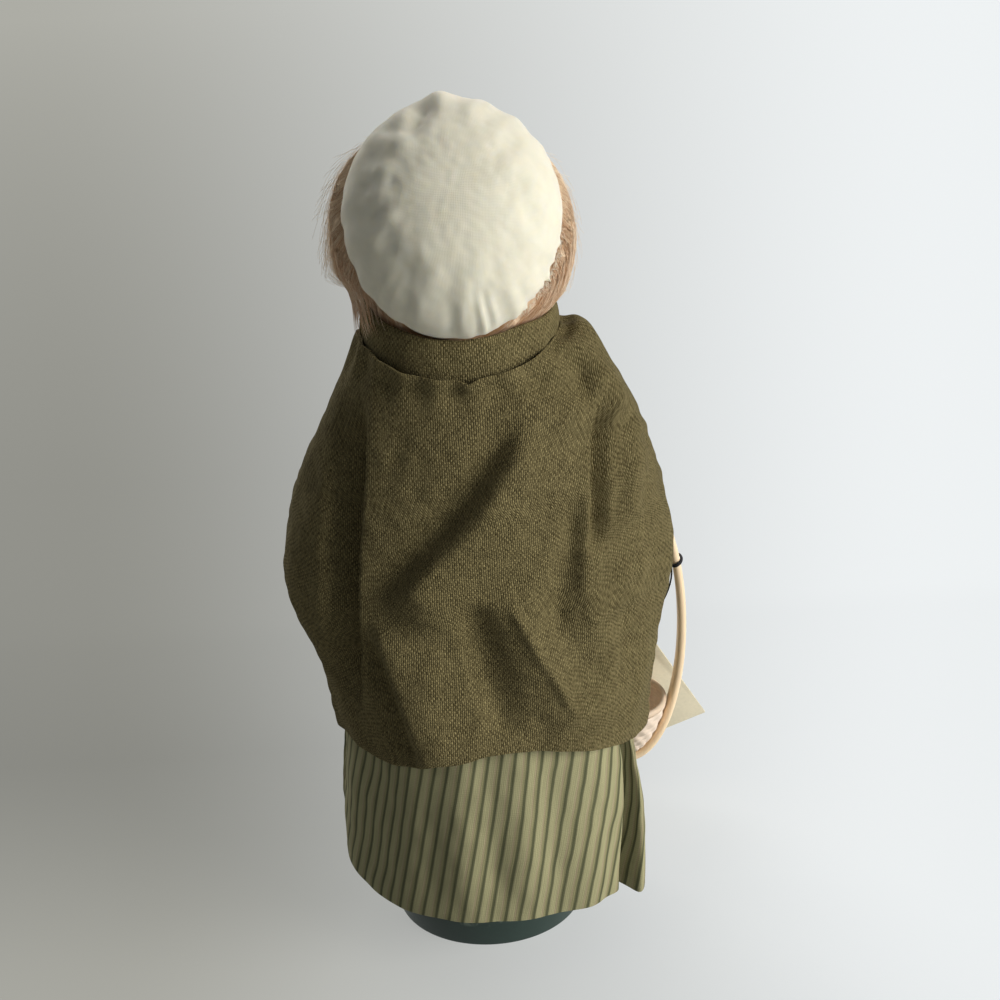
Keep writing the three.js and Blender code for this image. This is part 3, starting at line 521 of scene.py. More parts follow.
def plain_weave(tree, thread, tall=1.0, weft=1.0):
    """Threads over and under one another on the cloth's own map: yarn height, over or under, place.

    Tall is the spacing of the weft in threads of the warp, and weft the depth of its gaps.
    """
    flat = put(tree, "UVMap", uv_map="cloth").outputs[0]
    count = vector(tree, "MULTIPLY", flat, (1 / thread, 1 / (thread * tall), 1))
    for scale, far in WEAVE_DRIFTS:
        drift = put(tree, "TexNoise", {"Vector": count, "Scale": scale, "Detail": 2.0}).outputs[1]
        count = vector(tree, "MULTIPLY_ADD", drift, (far, far, 0), count)
    waves = [number(tree, "SINE", number(tree, "MULTIPLY", place, math.pi))
             for place in split(tree, count)[:2]]
    height = 1.0
    for wave, power in zip(waves, (0.5, 0.5 * weft)):
        yarn = number(tree, "POWER", number(tree, "ABSOLUTE", wave), power)
        height = number(tree, "MULTIPLY", yarn, height)
    over = remap(tree, number(tree, "MULTIPLY", *waves), -0.35, 0.35)
    return height, over, count


def wool(context):
    """Plain-woven wool: matt, heathered yarns, light ones over dark ones, with a short nap."""
    tones = context.scene.caroler_colours
    material, tree, shader = blank("plain_weave_wool", roughness=0.95, specular=0.12)
    height, over, count = plain_weave(tree, context.scene.caroler_cloth.wool_thread, 1.25, 0.4)
    cell = vector(tree, "FLOOR", count)
    fleck = put(tree, "TexWhiteNoise", {"Vector": cell}, noise_dimensions="2D").outputs[0]
    patch, fuzz = noise(tree, count, 0.06, 3.0), noise(tree, count, 1.7, 3.0)
    tone = 0.0
    for layer, share in ((over, 0.26), (fleck, 0.28), (patch, 0.22), (fuzz, 0.7)):
        tone = number(tree, "MULTIPLY_ADD", layer, share, tone)
    heather = remap(tree, tone, 0.36, 1.1)
    base = mix(tree, heather, rgba(tones.wool_dark), rgba(tones.wool_light))
    # painted shade: the colour is darker where the yarn is low, in the gaps between the threads
    gap = remap(tree, height, 0.1, 0.75, 0.6, 1.07)
    rise = number(tree, "MULTIPLY_ADD", over, 0.4, height)
    rise = number(tree, "MULTIPLY_ADD", fuzz, 0.8, rise)
    connect(tree, shader, vector(tree, "MULTIPLY", base, gap), rise, 0.9, 0.5)
    return material


def ticking(context):
    """Striped cotton ticking: a firm matt cloth with thin dark lines between paler bands."""
    tones = context.scene.caroler_colours
    material, tree, shader = blank("striped_ticking", roughness=0.9, specular=0.25)
    # Threads are 0.35 mm apart and are drawn at 0.7 mm, so that they show
    height, *_ = plain_weave(tree, 0.7 * MM)
    flat = put(tree, "UVMap", uv_map="cloth").outputs[0]
    turns = number(tree, "DIVIDE", split(tree, flat)[0], context.scene.caroler_cloth.stripe_repeat)
    ramp = put(tree, "ValToRGB", {0: number(tree, "FRACT", turns)})
    stops = [(0.0, tones.ticking_light), (0.30, tones.ticking_light), (0.42, tones.ticking_tan),
             (0.50, tones.ticking_mid), (0.60, tones.ticking_mid), (0.72, tones.ticking_line),
             (0.84, tones.ticking_line), (0.96, tones.ticking_light)]
    while len(ramp.color_ramp.elements) < len(stops):
        ramp.color_ramp.elements.new(1.0)
    for element, (where, colour) in zip(ramp.color_ramp.elements, stops):
        element.position, element.color = where, rgba(colour)
    slub = noise(tree, vector(tree, "MULTIPLY", flat, (2200, 60, 1)), 1.0, 3.0)
    streak = remap(tree, slub, 0.25, 0.75, 0.82, 1.12)
    # painted shade: besides the slubs' streaks, the colour is darker where the weave is low, between the
    # threads
    share = number(tree, "MULTIPLY", streak, remap(tree, height, 0.1, 0.8, 0.86, 1.03))
    connect(tree, shader, vector(tree, "MULTIPLY", ramp.outputs[0], share), height, 0.3, 0.3)
    return material


def light_cloth(name, colour, thread, dirt):
    """Plain white or cream cotton: matt, with a fine even weave that light sinks into a little."""
    material, tree, shader = blank(
        name, roughness=0.85, specular=0.3, sheen_weight=0.15, sheen_roughness=0.5,
        subsurface_weight=0.6, subsurface_radius=(1.0, 0.8, 0.55), subsurface_scale=2.4 * MM)
    # Threads are about 0.3 mm apart and are drawn wider, so that they show
    height, _, count = plain_weave(tree, thread * MM)
    grey = remap(tree, noise(tree, count, 0.045, 4.0), 0.35, 0.75, 1.0, 1 - dirt)
    # painted shade: the colour is a little darker where the weave is low, between the threads
    share = number(tree, "MULTIPLY", grey, remap(tree, height, 0.1, 0.8, 0.975, 1.0))
    connect(tree, shader, vector(tree, "MULTIPLY", colour, share), height, 0.12, 0.3)
    return material


def mohair(context):
    """Combed mohair: fine glossy fibres whose tone changes from lock to lock."""
    tones = context.scene.caroler_colours
    material, tree, shader = blank("combed_mohair", roughness=0.5, specular=0.4, sheen_weight=0.15)
    # Fibres are 0.05 mm wide and are drawn as furrows 0.5 mm apart, so that they show
    furrow = noise(tree, vector(tree, "MULTIPLY", spot(tree), (220, 2000, 120)), 1.0, 3.0)
    tone = put(tree, "Attribute", attribute_name="tone").outputs["Fac"]
    share = remap(tree, number(tree, "MULTIPLY_ADD", furrow, 0.7, tone), 0.1, 0.9)
    colour = mix(tree, share, rgba(tones.hair_dark), rgba(tones.hair_light))
    connect(tree, shader, colour, furrow, 0.5, 0.3)
    return material


def speckled(name, colour, grain, depth, contrast, stretch=(1, 1, 1), **sockets):
    """A material with one fine grain in its tone, gloss and relief. Grain is the size of a speck."""
    material, tree, shader = blank(name, **sockets)
    place = spot(tree)
    fine = noise(tree, vector(tree, "MULTIPLY", place, stretch), 1 / (grain * MM), 4.0)
    broad = noise(tree, place, 0.12 / (grain * MM), 2.0)
    both = number(tree, "MULTIPLY_ADD", broad, 0.5, fine)
    share = remap(tree, both, 0.4, 1.1, 1 - contrast, 1 + contrast)
    rough = shader.inputs["Roughness"].default_value
    gloss = remap(tree, fine, 0.3, 0.7, rough - 0.06, rough + 0.06)
    tree.links.new(gloss, shader.inputs["Roughness"])
    connect(tree, shader, vector(tree, "MULTIPLY", colour, share), fine, 0.5, depth)
    return material


def reopened(material):
    """A speckled material's node tree, the socket for its colour, and the colour that goes there."""
    socket = material.node_tree.nodes["Principled BSDF"].inputs["Base Color"]
    return material.node_tree, socket, socket.links[0].from_socket


# Painted marks of the face: x, height from the head's centre, half-width, half-height, softness, colour
FACE_PAINT = [
    (12.0, -8.0, 6.5, 5.5, 0.9, "#dba08c"),
    (8.6, 2.4, 3.4, 1.9, 0.10, "#f1ebe2"),
    (8.4, 2.4, 1.75, 1.85, 0.10, "#54402f"),
    (8.4, 2.4, 0.9, 0.95, 0.12, "#1b1512"),
    # painted highlight: a small white dot in each eye
    (7.9, 3.1, 0.4, 0.4, 0.2, "#f4f0ea"),
    (8.7, 4.3, 3.6, 0.5, 0.25, "#5b4030"),
    (8.9, 8.4, 4.2, 0.75, 0.45, "#8a6142"),
    (0.0, -15.3, 4.6, 1.9, 0.28, "#bb6a63"),
    (0.0, -15.2, 4.0, 0.32, 0.4, "#7d443e"),
]
FACE_Y = -12.0  # the paint is in front of this


def painted_clay(context):
    """Air-dried clay under matt skin paint, with blushed cheeks and painted eyes, brows and lips."""
    tones = context.scene.caroler_colours
    material = speckled("painted_clay", tones.skin, 1.2, 0.05, 0.05, roughness=0.55, specular=0.4)
    tree, socket, colour = reopened(material)
    place = spot(tree)
    shown = number(tree, "LESS_THAN", split(tree, place)[1], FACE_Y * MM)
    for x, z, wide, high, soft, code in FACE_PAINT:
        for side in ((1, -1) if x else (1,)):
            centred = vector(tree, "SUBTRACT", place, (side * x * MM, 0, (HEAD + z) * MM))
            scaled = vector(tree, "MULTIPLY", centred, (1 / (wide * MM), 0, 1 / (high * MM)))
            mark = remap(tree, norm(tree, scaled), 1 + soft, 1 - soft)
            share = number(tree, "MULTIPLY", mark, shown)
            colour = mix(tree, share, colour, rgba(linear(code)))
    tree.links.new(colour, socket)
    return material


def painted_wood(context):
    """Turned wood under satin green paint, rubbed a little along its upper edge."""
    tones = context.scene.caroler_colours
    material = speckled("satin_painted_wood", tones.paint, 0.8, 0.04, 0.12, roughness=0.42, specular=0.5)
    tree, socket, colour = reopened(material)
    place = spot(tree)
    out = norm(tree, vector(tree, "MULTIPLY", place, (1, 1, 0)))
    share = remap(tree, out, (BASE_RADIUS - 1.7) * MM, (BASE_RADIUS - 0.3) * MM)
    high = remap(tree, split(tree, place)[2], (BASE_TOP - 3.5) * MM, (BASE_TOP - 1.5) * MM)
    for other in (high, remap(tree, noise(tree, place, 260.0, 4.0), 0.56, 0.66)):
        share = number(tree, "MULTIPLY", share, other)
    tree.links.new(mix(tree, share, colour, rgba(linear("#6c7a6c"))), socket)
    return material


def pale_rays(tree):
    """1 for the rays that show the background: to the camera, in reflections and through glass."""
    ray = put(tree, "LightPath").outputs
    pale = number(tree, "MAXIMUM", ray["Is Camera Ray"], ray["Is Glossy Ray"])
    return number(tree, "MAXIMUM", pale, ray["Is Transmission Ray"])


def floor_paper(context):
    """Matt paper on the table, brighter towards the window."""
    stage = context.scene.caroler_stage
    material, tree, shader = blank("matt_paper_floor", roughness=0.9, specular=0.15)
    x, y, _ = split(tree, spot(tree))
    # the tones fan out, so that they change as slowly far behind the figure as beside it (in metres)
    depth = number(tree, "ADD", number(tree, "ABSOLUTE", y), 0.7)
    fan = number(tree, "DIVIDE", x, depth)
    share = remap(tree, fan, 0.22, -0.26, interpolation_type="SMOOTHSTEP")
    dim = stage.floor_far
    for low, high, gain in ((-0.45, -2.0, 1.42), (-0.12, 0.08, 1.45)):
        dim = vector(tree, "MULTIPLY", dim, remap(tree, y, low, high, 1.0, gain))
    tone = mix(tree, share, dim, rgba(stage.floor_near))
    back = remap(tree, y, -0.225, -0.26, interpolation_type="SMOOTHSTEP")
    tone = vector(tree, "MULTIPLY", tone, remap(tree, back, 0.0, 1.0, 1.0, 1.02))
    seen = pale_rays(tree)
    # the paper shows its own tone and a soft shadow, and sends little light back to the figure
    matt = vector(tree, "MULTIPLY", tone, remap(tree, seen, 0.0, 1.0, 0.85, 1.0))
    tree.links.new(matt, shader.inputs["Base Color"])
    glow = put(tree, "Emission", {0: tone, 1: 1.2}).outputs[0]
    share = number(tree, "MULTIPLY", seen, 0.62)
    both = put(tree, "MixShader", {0: share, 1: shader.outputs[0], 2: glow}).outputs[0]
    tree.links.new(both, tree.nodes["Material Output"].inputs[0])
    return material


# Pieces


# Each lamp: its name, the setting for its strength, its width in degrees, where it stands
LAMPS = (
    ("window", "key", 40, (-0.84, 0.41, 0.31)),
    ("room_front", "front", 50, (0.30, -0.85, 0.43)),
)


class CAROLER_OT_stage(bpy.types.Operator):
    """Adds the floor, the light and the camera"""

    bl_idname = "caroler.stage"
    bl_label = "Stage"

    def execute(self, context):
        scene, stage = context.scene, context.scene.caroler_stage
        scene.view_settings.view_transform = "Standard"
        bpy.ops.object.select_all(action="DESELECT")
        bpy.ops.mesh.primitive_grid_add(x_subdivisions=8, y_subdivisions=8, size=40)
        floor = named("floor")
        floor.data.materials.append(floor_paper(context))

        scene.world = bpy.data.worlds.new("room")
        scene.world.use_nodes = True
        tree = scene.world.node_tree
        light = tree.nodes["Background"]
        light.inputs[0].default_value = rgba(linear("#eef1f5"))
        light.inputs[1].default_value = stage.fill
        seen = put(tree, "Background", {0: rgba(linear("#dfe0dd")), 1: 1.0}).outputs[0]
        both = put(tree, "MixShader", {0: pale_rays(tree), 1: light.outputs[0], 2: seen}).outputs[0]
        tree.links.new(both, tree.nodes["World Output"].inputs[0])

        for name, strength, wide, way in LAMPS:
            lamp = bpy.data.lights.new(name, "SUN")
            lamp.energy, lamp.angle = getattr(stage, strength), math.radians(wide)
            lamp.color = linear("#fffcf6")
            sun = bpy.data.objects.new(name, lamp)
            sun.location = way
            sun.rotation_euler = sun.location.to_track_quat("Z", "Y").to_euler()
            scene.collection.objects.link(sun)

        data = bpy.data.cameras.new("photo_view")
        data.lens, data.sensor_width = stage.lens, 36.0
        data.shift_x, data.shift_y = stage.shift
        data.clip_start, data.clip_end = 0.01, 50.0
        camera = bpy.data.objects.new("photo_view", data)
        eye, aim = Vector(stage.eye), Vector(stage.aim)
        ahead = (aim - eye).normalized()
        right = ahead.cross(Vector((0, 0, 1))).normalized()
        up = right.cross(ahead)
        c, s = math.cos(stage.roll), math.sin(stage.roll)
        axes = Matrix((c * right - s * up, s * right + c * up, -ahead)).transposed()
        camera.matrix_world = Matrix.Translation(eye) @ axes.to_4x4()
        scene.collection.objects.link(camera)
        scene.camera = camera
        return {"FINISHED"}


# The card's own axes, its lower corner, and its hole
CARD_ACROSS = np.array((0.8910, -0.1251, -0.4364))
CARD_ALONG = np.array((0.4540, 0.2456, 0.8565))
CARD_FACE = np.array((0.0, 0.9613, -0.2756))  # towards the basket
CARD_CORNER = np.array((-98.3, -75.388, 35.1))
CARD_SIZE = (42.0, 64.0, 0.9)
HOLE_ACROSS, HOLE_ALONG = 5.0, 59.0
CARD_HOLE = CARD_CORNER + HOLE_ACROSS * CARD_ACROSS + HOLE_ALONG * CARD_ALONG
# Where the thread goes round the hoop, and the way out from the hoop's middle there
LOOP = np.array((-83.12, -48.0, 123.1))
LOOP_OUT = unit(np.array((-0.9066, 0, 0.4219)))
# The thread's two ends: a point half-way along each, and its tip
TIE_ENDS = (((-79.8, -48, 116.4), (-74.5, -48, 111.6)), ((-80.4, -49, 110.4), (-74.0, -50, 97.0)))


class CAROLER_OT_tag(bpy.types.Operator):
    """Adds the blank card, its thread with a knot, and the loop round the hoop"""

    bl_idname = "caroler.tag"
    bl_label = "Card and Thread"

    def execute(self, context):
        tones = context.scene.caroler_colours
        radius = context.scene.caroler_basket.thread_diameter / 2 / MM
        # Twisted black cotton thread: matt, with a fine uneven ply
        black = speckled("twisted_thread", tones.thread, 0.5, 0.15, 0.35, roughness=0.8, specular=0.3)

        def behind(far):
            """A place this far from the hole, on the card's other side."""
            return CARD_HOLE - far * CARD_FACE

        top, above = LOOP + (0, -4.9, 0), behind(-3)
        share = np.arange(24)[:, None] / 24
        hang = lerp(top, above, share) + 3.6 * share * (1 - share) * CARD_FACE
        route = np.vstack([hang, above, *(behind(far) for far in (-1, 0, 1.2, 3.6))])
        cord = tubes("tag_cord", [route], radius, sides=10)
        dress(cord, "tag", "thread", black, "tag_thread")
        ball = moulded("tag_knot", [
            (behind(1.7), (1.6, 1.2, 1.3), 10), (behind(2.6), (1.3, 1.1, 1.6), 70),
            (behind(2.2) + (0.6, 0, 0.5), (1.1, 1.0, 0.9), 30)], 0.14, 3)
        dress(ball, "tag", "thread", black)

        # Two turns round the cane, tied off with two short ends
        turn = np.linspace(math.pi, 5 * math.pi, 72)[:, None]
        climb = lerp(-0.8, 0.3, turn / (2 * TURN)) * np.cross(LOOP_OUT, (0, 1, 0))
        coil = LOOP + 2.55 * np.cos(turn) * LOOP_OUT + 4.6 * np.sin(turn) * np.array((0, 1, 0)) + climb
        loop = tubes("tag_tie", [coil], radius, sides=8)
        u = np.linspace(0, 1, 10)[:, None]
        first, half, last = (1 - u) * (1 - 2 * u), 4 * u * (1 - u), u * (2 * u - 1)
        ends = [start * first + np.array(mid) * half + np.array(tip) * last
                for start, (mid, tip) in zip((coil[0], coil[-1]), TIE_ENDS)]
        tails = tubes("tag_tie_ends", ends, radius * 0.8, sides=6)
        dress(loop, "basket", "thread", black, "tag_loop")
        dress(tails, "basket", "thread", black)

        bpy.ops.object.select_all(action="DESELECT")
        bpy.ops.mesh.primitive_cube_add(size=MM)
        card = named("tag_manila")
        card.scale = CARD_SIZE
        card.location = Vector((CARD_SIZE[0] / 2, CARD_SIZE[1] / 2, -CARD_SIZE[2] / 2)) * MM
        settle()
        bpy.ops.mesh.primitive_cylinder_add(
            vertices=32, radius=1.2 * MM, depth=6 * MM, location=(HOLE_ACROSS * MM, HOLE_ALONG * MM, 0))
        punch = context.active_object
        apply(card, "BOOLEAN", operation="DIFFERENCE", object=punch, solver="EXACT")
        bpy.data.objects.remove(punch)
        apply(card, "BEVEL", width=0.16 * MM, segments=2, limit_method="ANGLE")
        axes = Matrix([axis.tolist() for axis in (CARD_ACROSS, CARD_ALONG, -CARD_FACE)]).transposed()
        card.data.transform(Matrix.Translation(Vector(CARD_CORNER * MM)) @ axes.to_4x4())
        clean(card)
        # Uncoated manila card: matt, fibrous, warm
        manila = speckled("manila_card", tones.card, 1.5, 0.05, 0.07, roughness=0.85, specular=0.25)
        dress(card, "tag", "card", manila, "tag_card")
        return {"FINISHED"}


# Folds of the back of the cape: line of (x, z), width to the left and to the right of it, height.
# Left and right are as seen from behind, on a line that runs down. A line that runs to the right
# has its lower side first.
CAPE_FOLDS = [
    # the edge of the back panel beside the left arm, and the deep shade under it
    ([(30, 236), (33, 221), (35, 206), (37, 192), (39, 177), (40, 162), (41, 144), (42, 125), (43, 104)],
     3.0, 12.0, 1.2),
    ([(36, 232), (38.5, 219), (40, 204), (42, 190), (44, 176), (45, 162), (46.5, 144), (48, 125), (48, 102)],
     12.0, 4.8, -10.0),
    # the groove that runs down from the right shoulder, between two ridges
    ([(-50, 230), (-49, 222), (-48, 214), (-47, 206), (-46, 198), (-45.5, 190), (-45, 182), (-43, 170)],
     3.4, 6.0, -6.0),
    ([(-38, 253), (-42.5, 247), (-46.5, 239), (-49.5, 230), (-50, 222), (-49, 212)], 5.5, 15.0, 5.0),
    ([(-60, 236), (-62, 214), (-60, 194), (-56, 174)], 5.0, 8.0, 2.4),
    # the roll below the collar, with the hollow above it
    ([(-8, 231), (-19, 229), (-29, 226), (-39, 222), (-46, 219)], 15.0, 5.0, 2.2),
    ([(-12, 239), (-22, 238), (-32, 234), (-42, 229), (-47, 225)], 5.5, 5.0, -3.0),
    ([(-36, 243), (-41, 237), (-46, 230)], 6.0, 3.5, -3.4),
    # the long step across the back, up to the bank at its right
    ([(-20, 228), (-15, 219), (-9, 210), (-2, 200), (9, 187), (18, 177), (27, 168), (36, 156)],
     12.0, 5.0, -2.2),
    ([(-26, 222), (-21, 213), (-16, 207), (-11, 200), (-4, 190), (6, 179), (16, 169), (25, 158), (31, 150)],
     8.5, 34.0, 7.4),
    # the lower ridge right of the middle, and the shade to its left
    ([(-8, 166), (-13, 155), (-17, 146), (-21, 135), (-27, 123), (-33, 109), (-37, 94)], 15.0, 15.0, 4.4),
    ([(-10, 160), (-14, 153), (-18, 144), (-22, 134), (-28, 122), (-35, 104)], 3.4, 3.6, 1.6),
    ([(4, 160), (2, 152), (-2, 135), (-7, 114), (-10, 96)], 9.0, 11.0, -3.4),
    # the lit bank at the lower left, and the dark triangle beside it
    ([(34, 154), (32, 142), (29, 131), (25, 120), (22, 109), (16, 86)], 8.0, 24.0, 6.8),
    ([(40, 146), (38, 134), (35, 122), (31, 110), (27, 88)], 8.0, 6.5, -4.0),
    # soft falls at the right and to the hem
    ([(-38.5, 192), (-37, 180), (-34, 167), (-31, 151), (-29, 138)], 9.0, 7.0, -2.8),
    ([(-42, 200), (-41, 188), (-40.5, 173), (-41, 155), (-43, 138)], 5.0, 12.0, 1.8),
    ([(-40, 156), (-45, 128), (-47, 96)], 12.0, 12.0, 1.8),
    ([(-55, 150), (-57, 124), (-57, 96)], 9.0, 9.0, -1.6),
]
# Half-sizes of the cape by the share of its fall, and the rise of its hem by x
CAPE_LEFT = smooth([(0, 36), (0.17, 49), (0.4, 65.5), (0.58, 71.6), (0.8, 61.97), (1, 55)])
CAPE_RIGHT = smooth([(0, 36), (0.05, 48), (0.16, 60.5), (0.38, 73), (0.54, 75.6), (0.76, 70.3), (1, 65)])
CAPE_BACK = smooth([(0, 34.5), (0.2, 43), (1, 53)])
CAPE_FRONT = smooth([(0, 29), (0.25, 34), (0.52, 60), (1, 40)])
HEM_WAVE = smooth([
    (-66, -1), (-52, 0), (-28, 2), (-2, 2.4), (10, 0), (18, -0.2), (27, -4.4), (38, -3.2), (47, 0.4),
    (55, 2.5)])
# Height of its hem above the base: at the left, at the right and at the back
HEM_LEFT, HEM_RIGHT, HEM_BACK = 74.0, 66.0, 82.0


def fold_height(x, z, line, left, right, height):
    """Height of one fold over the back of the cape, fading out at both of its ends."""
    line = np.array(line, float)
    legs, runs = np.diff(line, axis=0), along(line)
    best = np.full(x.shape, 1e9)
    side, place = np.zeros(x.shape), np.zeros(x.shape)
    for start, leg, run in zip(line, legs, runs):
        far = np.linalg.norm(leg)
        u = np.clip(((x - start[0]) * leg[0] + (z - start[1]) * leg[1]) / far ** 2, 0, 1)
        dx, dz = x - start[0] - u * leg[0], z - start[1] - u * leg[1]
        away = np.hypot(dx, dz)
        nearer = away < best
        best = np.where(nearer, away, best)
        side = np.where(nearer, np.sign(dx * leg[1] - dz * leg[0]), side)
        place = np.where(nearer, (run + u * far) / runs[-1], place)
    fade = ease(place, -0.02, 0.2) * ease(1 - place, -0.02, 0.2)
    return height * fade * (1 - ease(best / np.where(side > 0, right, left), 0, 1))


def cape_form(s, down):
    """The cape over the shoulders and elbows, before its folds: points, angle and share of the fall."""
    t = down ** 1.3
    gap = lerp(12.0, 78.0, ease(t, 0.08, 0.55))  # half the front opening, in degrees
    angle = np.radians(lerp(gap - 90, 270 - gap, s))
    c, back = np.cos(angle), np.sin(angle)
    x, y = oval(angle, CAPE_LEFT(t), CAPE_RIGHT(t), CAPE_BACK(t), CAPE_FRONT(t),
                lerp(1.0, 0.5, ease(t, 0, 0.45)))
    hem = BASE_TOP + lerp(np.where(c > 0, HEM_LEFT, HEM_RIGHT), HEM_BACK, np.maximum(0, back) ** 1.5)
    _, neck_y = oval(angle, NECK_SIDE, NECK_SIDE, NECK_BACK, NECK_FRONT)
    z = lerp(neck_height(neck_y), hem, t)
    # the right shoulder is higher
    z = z + 6 * bump(angle - math.pi * 0.97, 0.5) * bump(t - 0.045, 0.045) * ease(t, 0, 0.03)
    return np.stack([x, y, z], -1), angle, t


class CAROLER_OT_cape(bpy.types.Operator):
    """Adds the draped wool cape"""

    bl_idname = "caroler.cape"
    bl_label = "Cape"

    def execute(self, context):
        cloth = context.scene.caroler_cloth
        points, angle, t = cape_form(*np.meshgrid(np.linspace(0, 1, 281), np.linspace(0, 1, 161)))
        x, z, back = points[..., 0], points[..., 2], np.sin(angle)
        folds = sum(fold_height(x, z, *fold) for fold in CAPE_FOLDS)
        rise = cloth.fold_depth * folds * ease(back, 0.02, 0.4) * ease(t, 0, 0.14)
        # gathers at the neck, falls over the arms and in front, and the cloth's own unevenness
        round_mm = angle * 52
        rise += 0.8 * np.sin(angle * 19 + 1.3) * bump(t - 0.03, 0.05)
        rise += 1.8 * ripple(round_mm, z * 0.16, 26, 4) * ease(t, 0.25, 0.8) * ease(-back, -0.15, 0.4)
        rise += 0.8 * ripple(round_mm, z * 0.6, 34, 9) * ease(t, 0.1, 0.4)
        falls = np.sin(angle * 13 + 0.4 * np.sin(angle * 5))
        rise += 0.7 * falls * ease(t, 0.45, 0.95) * bump(back + 0.1, 0.45)
        rise += 0.22 * ripple(round_mm, z, 9, 21) * ease(t, 0.05, 0.2)
        points = points + outward(points) * rise[..., None]
        points[..., 2] += HEM_WAVE(x) * ease(back, 0.1, 0.5) * t ** 4
        # the neck edge stands off the collar, most at the back, where it has one small gather
        edge = 1 - ease(t, 0, 0.05)
        notch = bump(x + 2, 2.4) * ease(back, 0.5, 0.9)
        off = (3.5 - 2.4 * ease(np.abs(x), 20, 34)) * lerp(0.3, 1.0, ease(back, -0.2, 0.4)) + 0.7 * notch
        points[..., :2] *= 1 + (edge * off / np.hypot(x, points[..., 1]))[..., None]
        points[..., 2] += edge * (0.2 - 1.5 * notch)
        across, middle = along(points, 1), points.shape[1] // 2
        flat = np.stack([across - across[:, middle:middle + 1], along(points)], -1)
        cape = grid_piece("cape_wool", points, flat)
        apply(cape, "SOLIDIFY", thickness=cloth.cape_thickness, offset=-1.0, use_even_offset=True)
        shade(cape)
        dress(cape, "figure", "wool", wool(context), "cape")
        return {"FINISHED"}


class CAROLER_OT_collar(bpy.types.Operator):
    """Adds the rolled wool collar"""

    bl_idname = "caroler.collar"
    bl_label = "Collar"

    def execute(self, context):
        cloth = context.scene.caroler_cloth
        high, thick = cloth.collar_height / MM, cloth.collar_thickness / MM
        angle, turn = np.meshgrid(circle(240), np.linspace(0, TURN, 33))
        # a folded band: flat faces, a rolled upper edge
        reach = np.sign(np.cos(turn)) * np.abs(np.cos(turn)) ** 0.75 * thick / 2
        rise = np.sign(np.sin(turn)) * np.abs(np.sin(turn)) ** 0.75 * high / 2
        share = rise / high + 0.5
        low = 0.34 * bump(angle - math.pi, 0.75)  # it sinks at the right
        round_mm = angle * NECK_SIDE
        wave = 0.35 * ripple(round_mm, rise * 0.3, 30, 5) + 0.12 * ripple(round_mm, rise, 8, 6)
        out = reach - thick / 2 + 0.5 * (1 - share) ** 2 + wave + 0.6 * np.sin(math.pi * share)
        x, y = oval(angle, NECK_SIDE - 1.5 + out, NECK_SIDE + out, NECK_BACK + out, NECK_FRONT + out)
        # inside the cape's neck it goes on down, so that no light comes through between them
        foot = lerp(-1.4, -7.0, ease(np.sin(angle), -0.4, 0.05))
        z = neck_height(y) + lerp(foot, high * (1 - low) - 1.4, share)
        z += 0.3 * ripple(round_mm, 0 * angle, 40, 8)
        points = np.stack([x, y, z], -1)
        flat = seam(np.stack([round_mm, along(points)], -1), TURN * NECK_SIDE)
        collar = grid_piece("collar_band", points, flat, wrap=True, flip=True)
        clean(collar, 60)
        dress(collar, "figure", "wool", bpy.data.materials["plain_weave_wool"], "collar")
        return {"FINISHED"}


# Folds of the skirt at its hem: angle, half-width in degrees, height; the first four are the pleat's
SKIRT_FOLDS = [
    (128, 9, 3.5), (138.0, 3.6, 2.0), (146.0, 3.4, -17), (156, 5.0, 3.5), (38, 20, -5), (176, 5, -2),
    (80, 5, 1.8), (66, 6, -1.8), (92, 4.5, -2.0), (103, 5, 1.6), (114, 5, -1.8), (300, 9, 2),
    (262, 9, 2.5), (282, 8, -2), (330, 12, -2), (196, 9, 1.5), (214, 8, -1.5), (232, 9, 1.5), (18, 9, 1.2),
]
PLEAT = 146  # degrees
SKIRT_TOP = (21.0, 21.0, 17.0, 17.0)  # half-sizes at the waist and at the hem
SKIRT_ROUND = (57.0, 63.0, 54.5, 43.0)
SKIRT_SWELL = smooth([(0, 0), (0.14, 0.4), (0.3, 0.71), (0.5, 0.85), (0.72, 0.945), (1, 1)])
STRIPE_LEAN = 0.2


